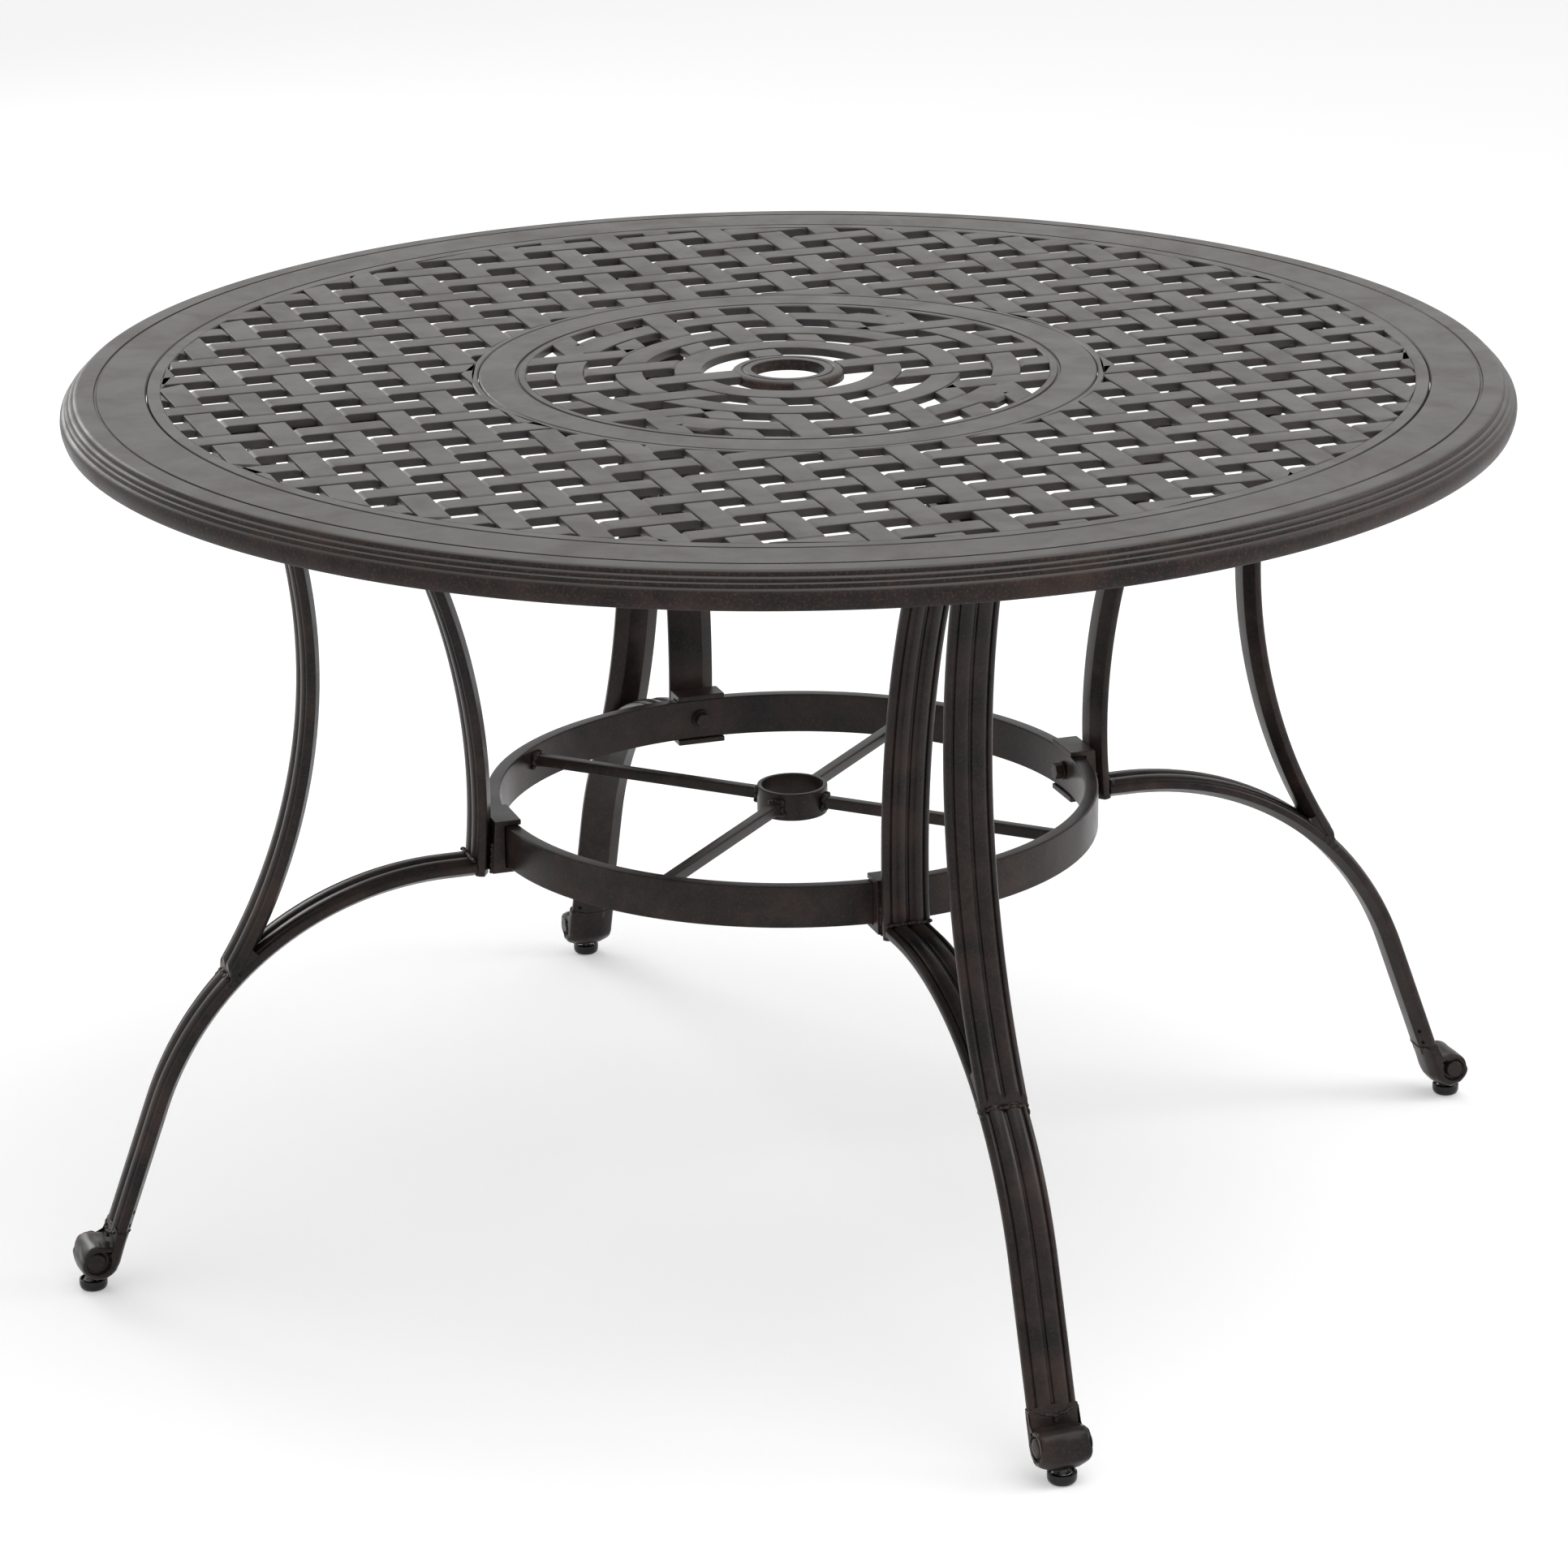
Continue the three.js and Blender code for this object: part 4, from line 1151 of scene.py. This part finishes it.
def makeWelds():
    draw = random.Random(weld["seed"])
    bm = bmesh.new()
    addLanding(bm, draw, *weld["landing"])
    addWeb(bm)
    for side in (-1, 1):
        for x, z, size in weld["patch"]:
            addPatch(bm, (x, side * weld["patchAcross"], z), size)
        neck = [onNeck(side, *point) for point in weld["neck"]]
        addBeads(bm, draw, neck, weld["neckSize"])
        ridge = [onNeck(side, *point) for point in weld["ridge"]]
        addBeads(bm, draw, ridge, weld["ridgeSize"])
        bracket = [(x, side * across, z) for x, across, z in weld["bracket"]]
        addBeads(bm, draw, bracket, weld["bracketSize"])
    addLanding(bm, draw, *weld["innerLanding"])
    finishFour(bm, "weldBeads", "bronze")


# the levelling glides; pairs are radius and height
glide = {
    "place": 632,
    "cupSide": [(0, 0), (8.4, 0), (9.8, 0.5), (11.1, 1.8), (11.8, 3.6), (12, 5.2)],
    "cupLip": [  # from the cup's upper edge
        (12, -0.5), (11.7, -0.1), (11.4, 0), (10.8, 0), (10.4, -0.4), (10.4, -1.8), (0, -1.8),
    ],
    "cupSegments": 48,
    "studDisc": [(0, 0), (7.6, 0), (8, 0.4), (8, 1.2), (7.7, 1.5), (4, 1.5)],  # from its underside
    "studRadius": 4,
    "studSegments": 32,
}


def makeGlides():
    place = (glide["place"], 0, 0)
    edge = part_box("glide_cup_1")[1].z / mm
    bm = bmesh.new()
    turnSolid(bm, glide["cupSide"] + raised(glide["cupLip"], edge), place, glide["cupSegments"])
    finishFour(bm, "glideCup", "black_plastic", ["glide_cup_"], "glide_#")
    low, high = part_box("glide_stud_1")
    head = high.z / mm
    outline = raised(glide["studDisc"], low.z / mm) + [(glide["studRadius"], head), (0, head)]
    bm = bmesh.new()
    turnSolid(bm, outline, place, glide["studSegments"])
    finishFour(bm, "glideStud", "steel", ["glide_stud_"], "glide_#")


# the hoop, the hub and the spokes
stay = {
    # inner and outer radius, bottom and top, segments and rounding
    "hoop": (252, 264, 340, 376, 160, 1.6),
    "hub": (26.5, 30.5, 352, 376, 64, 0.9),
    "spoke": 10,
    "spokeRound": 1.6,
    "spokeHeight": 364,
    "spokeReach": (29.5, 252.6),
}


def makeBand(which, name, node):
    inner, outer, low, high, segments, rounding = stay[which]
    bm = bmesh.new()
    outline = [(inner, low), (outer, low), (outer, high), (inner, high)]
    turnRing(bm, outline, 0, segments, rounding)
    finishPiece(bm, name, "bronze", [node])


def makeSpokes():
    half = stay["spoke"] / 2
    height = stay["spokeHeight"]
    start, end = stay["spokeReach"]
    bm = bmesh.new()
    softBox(bm, (start, -half, height - half), (end, half, height + half), stay["spokeRound"])
    turnPart(bm, math.pi / 4)
    finishFour(bm, "spoke", "bronze", ["spoke_"])


def makeSpokeWelds():
    # beads round each end of the spoke: up its two sides, and across its bottom and top
    draw = random.Random(weld["seed"] + 1)
    half = stay["spoke"] / 2
    low = stay["spokeHeight"] - half
    high = stay["spokeHeight"] + half
    size = weld["spokeSize"]
    bm = bmesh.new()
    for place in weld["spokeEnds"]:
        for across, level in ((-half, low), (half, high)):
            addBead(bm, draw, (place, across, low), (place, across, high), size)
            addBead(bm, draw, (place, -half, level), (place, half, level), size)
    turnPart(bm, math.pi / 4)
    finishFour(bm, "spokeWelds", "bronze")


# the brackets, bolts, top plates and screws
fixings = {
    "bracketWidth": 43.5,
    "bracketOutline": [
        (250, 335), (276.2, 335), (272.9, 381), (250, 381), (250, 376.3), (264.3, 376.3),
        (264.3, 339.7), (250, 339.7),
    ],
    "bracketRound": 0.8,
    "boltHeight": 358,
    # radius, start and end from the head's face, sides and rounding; None is the bolt's own end
    "bolt": [(7.2, 0, 6.6, 6, 0.7), (8.4, 6.4, 8, 32, 0.3), (4, 6, None, 16, 0)],
    "plateRound": 0.9,
    # radius, and height from the head's underside
    "screwHead": [
        (0, 1.4), (1.6, 1.4), (1.7, 0.1), (3.2, 0), (4.6, 0.5), (5.3, 1.6), (5.5, 3.5), (2.5, 3.5),
    ],
    "screwRadius": 2.5,
    "screwSegments": 24,
}


def makeBrackets():
    bm = drawPlate(fixings["bracketOutline"], fixings["bracketWidth"] / 2)
    roundEdges(bm, bm.edges[:], fixings["bracketRound"])
    finishFour(bm, "hoopBracket", "bronze", ["hoop_bracket_"])


def addPin(bm, radius, start, end, sides, rounding):
    # a round or hexagonal pin along X
    part = newPin(radius, end - start, sides)
    if rounding:
        ends = [edge for edge in part.edges if edge.verts[0].co.z * edge.verts[1].co.z > 0]
        roundEdges(part, ends, rounding)
    turnPart(part, math.pi / 2, "Y")
    place = ((start + end) / 2, 0, fixings["boltHeight"])
    bmesh.ops.translate(part, vec=place, verts=part.verts)
    addPart(bm, part)


def makeBolts():
    low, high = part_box("bracket_bolt_1")
    face = low.x / mm
    bm = bmesh.new()
    for radius, start, end, sides, rounding in fixings["bolt"]:
        addPin(bm, radius, face + start, face + end if end else high.x / mm, sides, rounding)
    finishFour(bm, "bracketBolt", "bolt_bronze", ["bracket_bolt_"])


def makeTopPlates():
    low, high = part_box("top_plate_1")
    bm = bmesh.new()
    softBox(bm, [c / mm for c in low], [c / mm for c in high], fixings["plateRound"])
    finishFour(bm, "topPlate", "bronze", ["top_plate_"])


def makePlateScrews():
    for side in ("inner", "outer"):
        low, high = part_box(side + "_plate_screw_1")
        end = high.z / mm
        outline = raised(fixings["screwHead"], low.z / mm)
        outline += [(fixings["screwRadius"], end), (0, end)]
        bm = bmesh.new()
        turnSolid(bm, outline, ((low.x + high.x) / 2 / mm, 0, 0), fixings["screwSegments"])
        finishFour(bm, side + "PlateScrew", "steel", [side + "_plate_screw_"])


placeCamera()
layFloor()
lightStudio()
scene.view_settings.view_transform = "Standard"
print("stage set")
makeRim()
makeLattice()
makeMedallion()
makeCollar()
print("top woven")
makeUpright("outer")
makeUpright("inner")
makeArchRail()
makeScrollFoot()
makeHoleShadeDiscs()
makeWelds()
makeGlides()
print("legs bent")
makeBand("hoop", "supportHoop", "hoop_ring")
makeBand("hub", "poleHub", "hub_ring")
makeSpokes()
makeSpokeWelds()
makeBrackets()
makeBolts()
makeTopPlates()
makePlateScrews()
print("fixings placed")
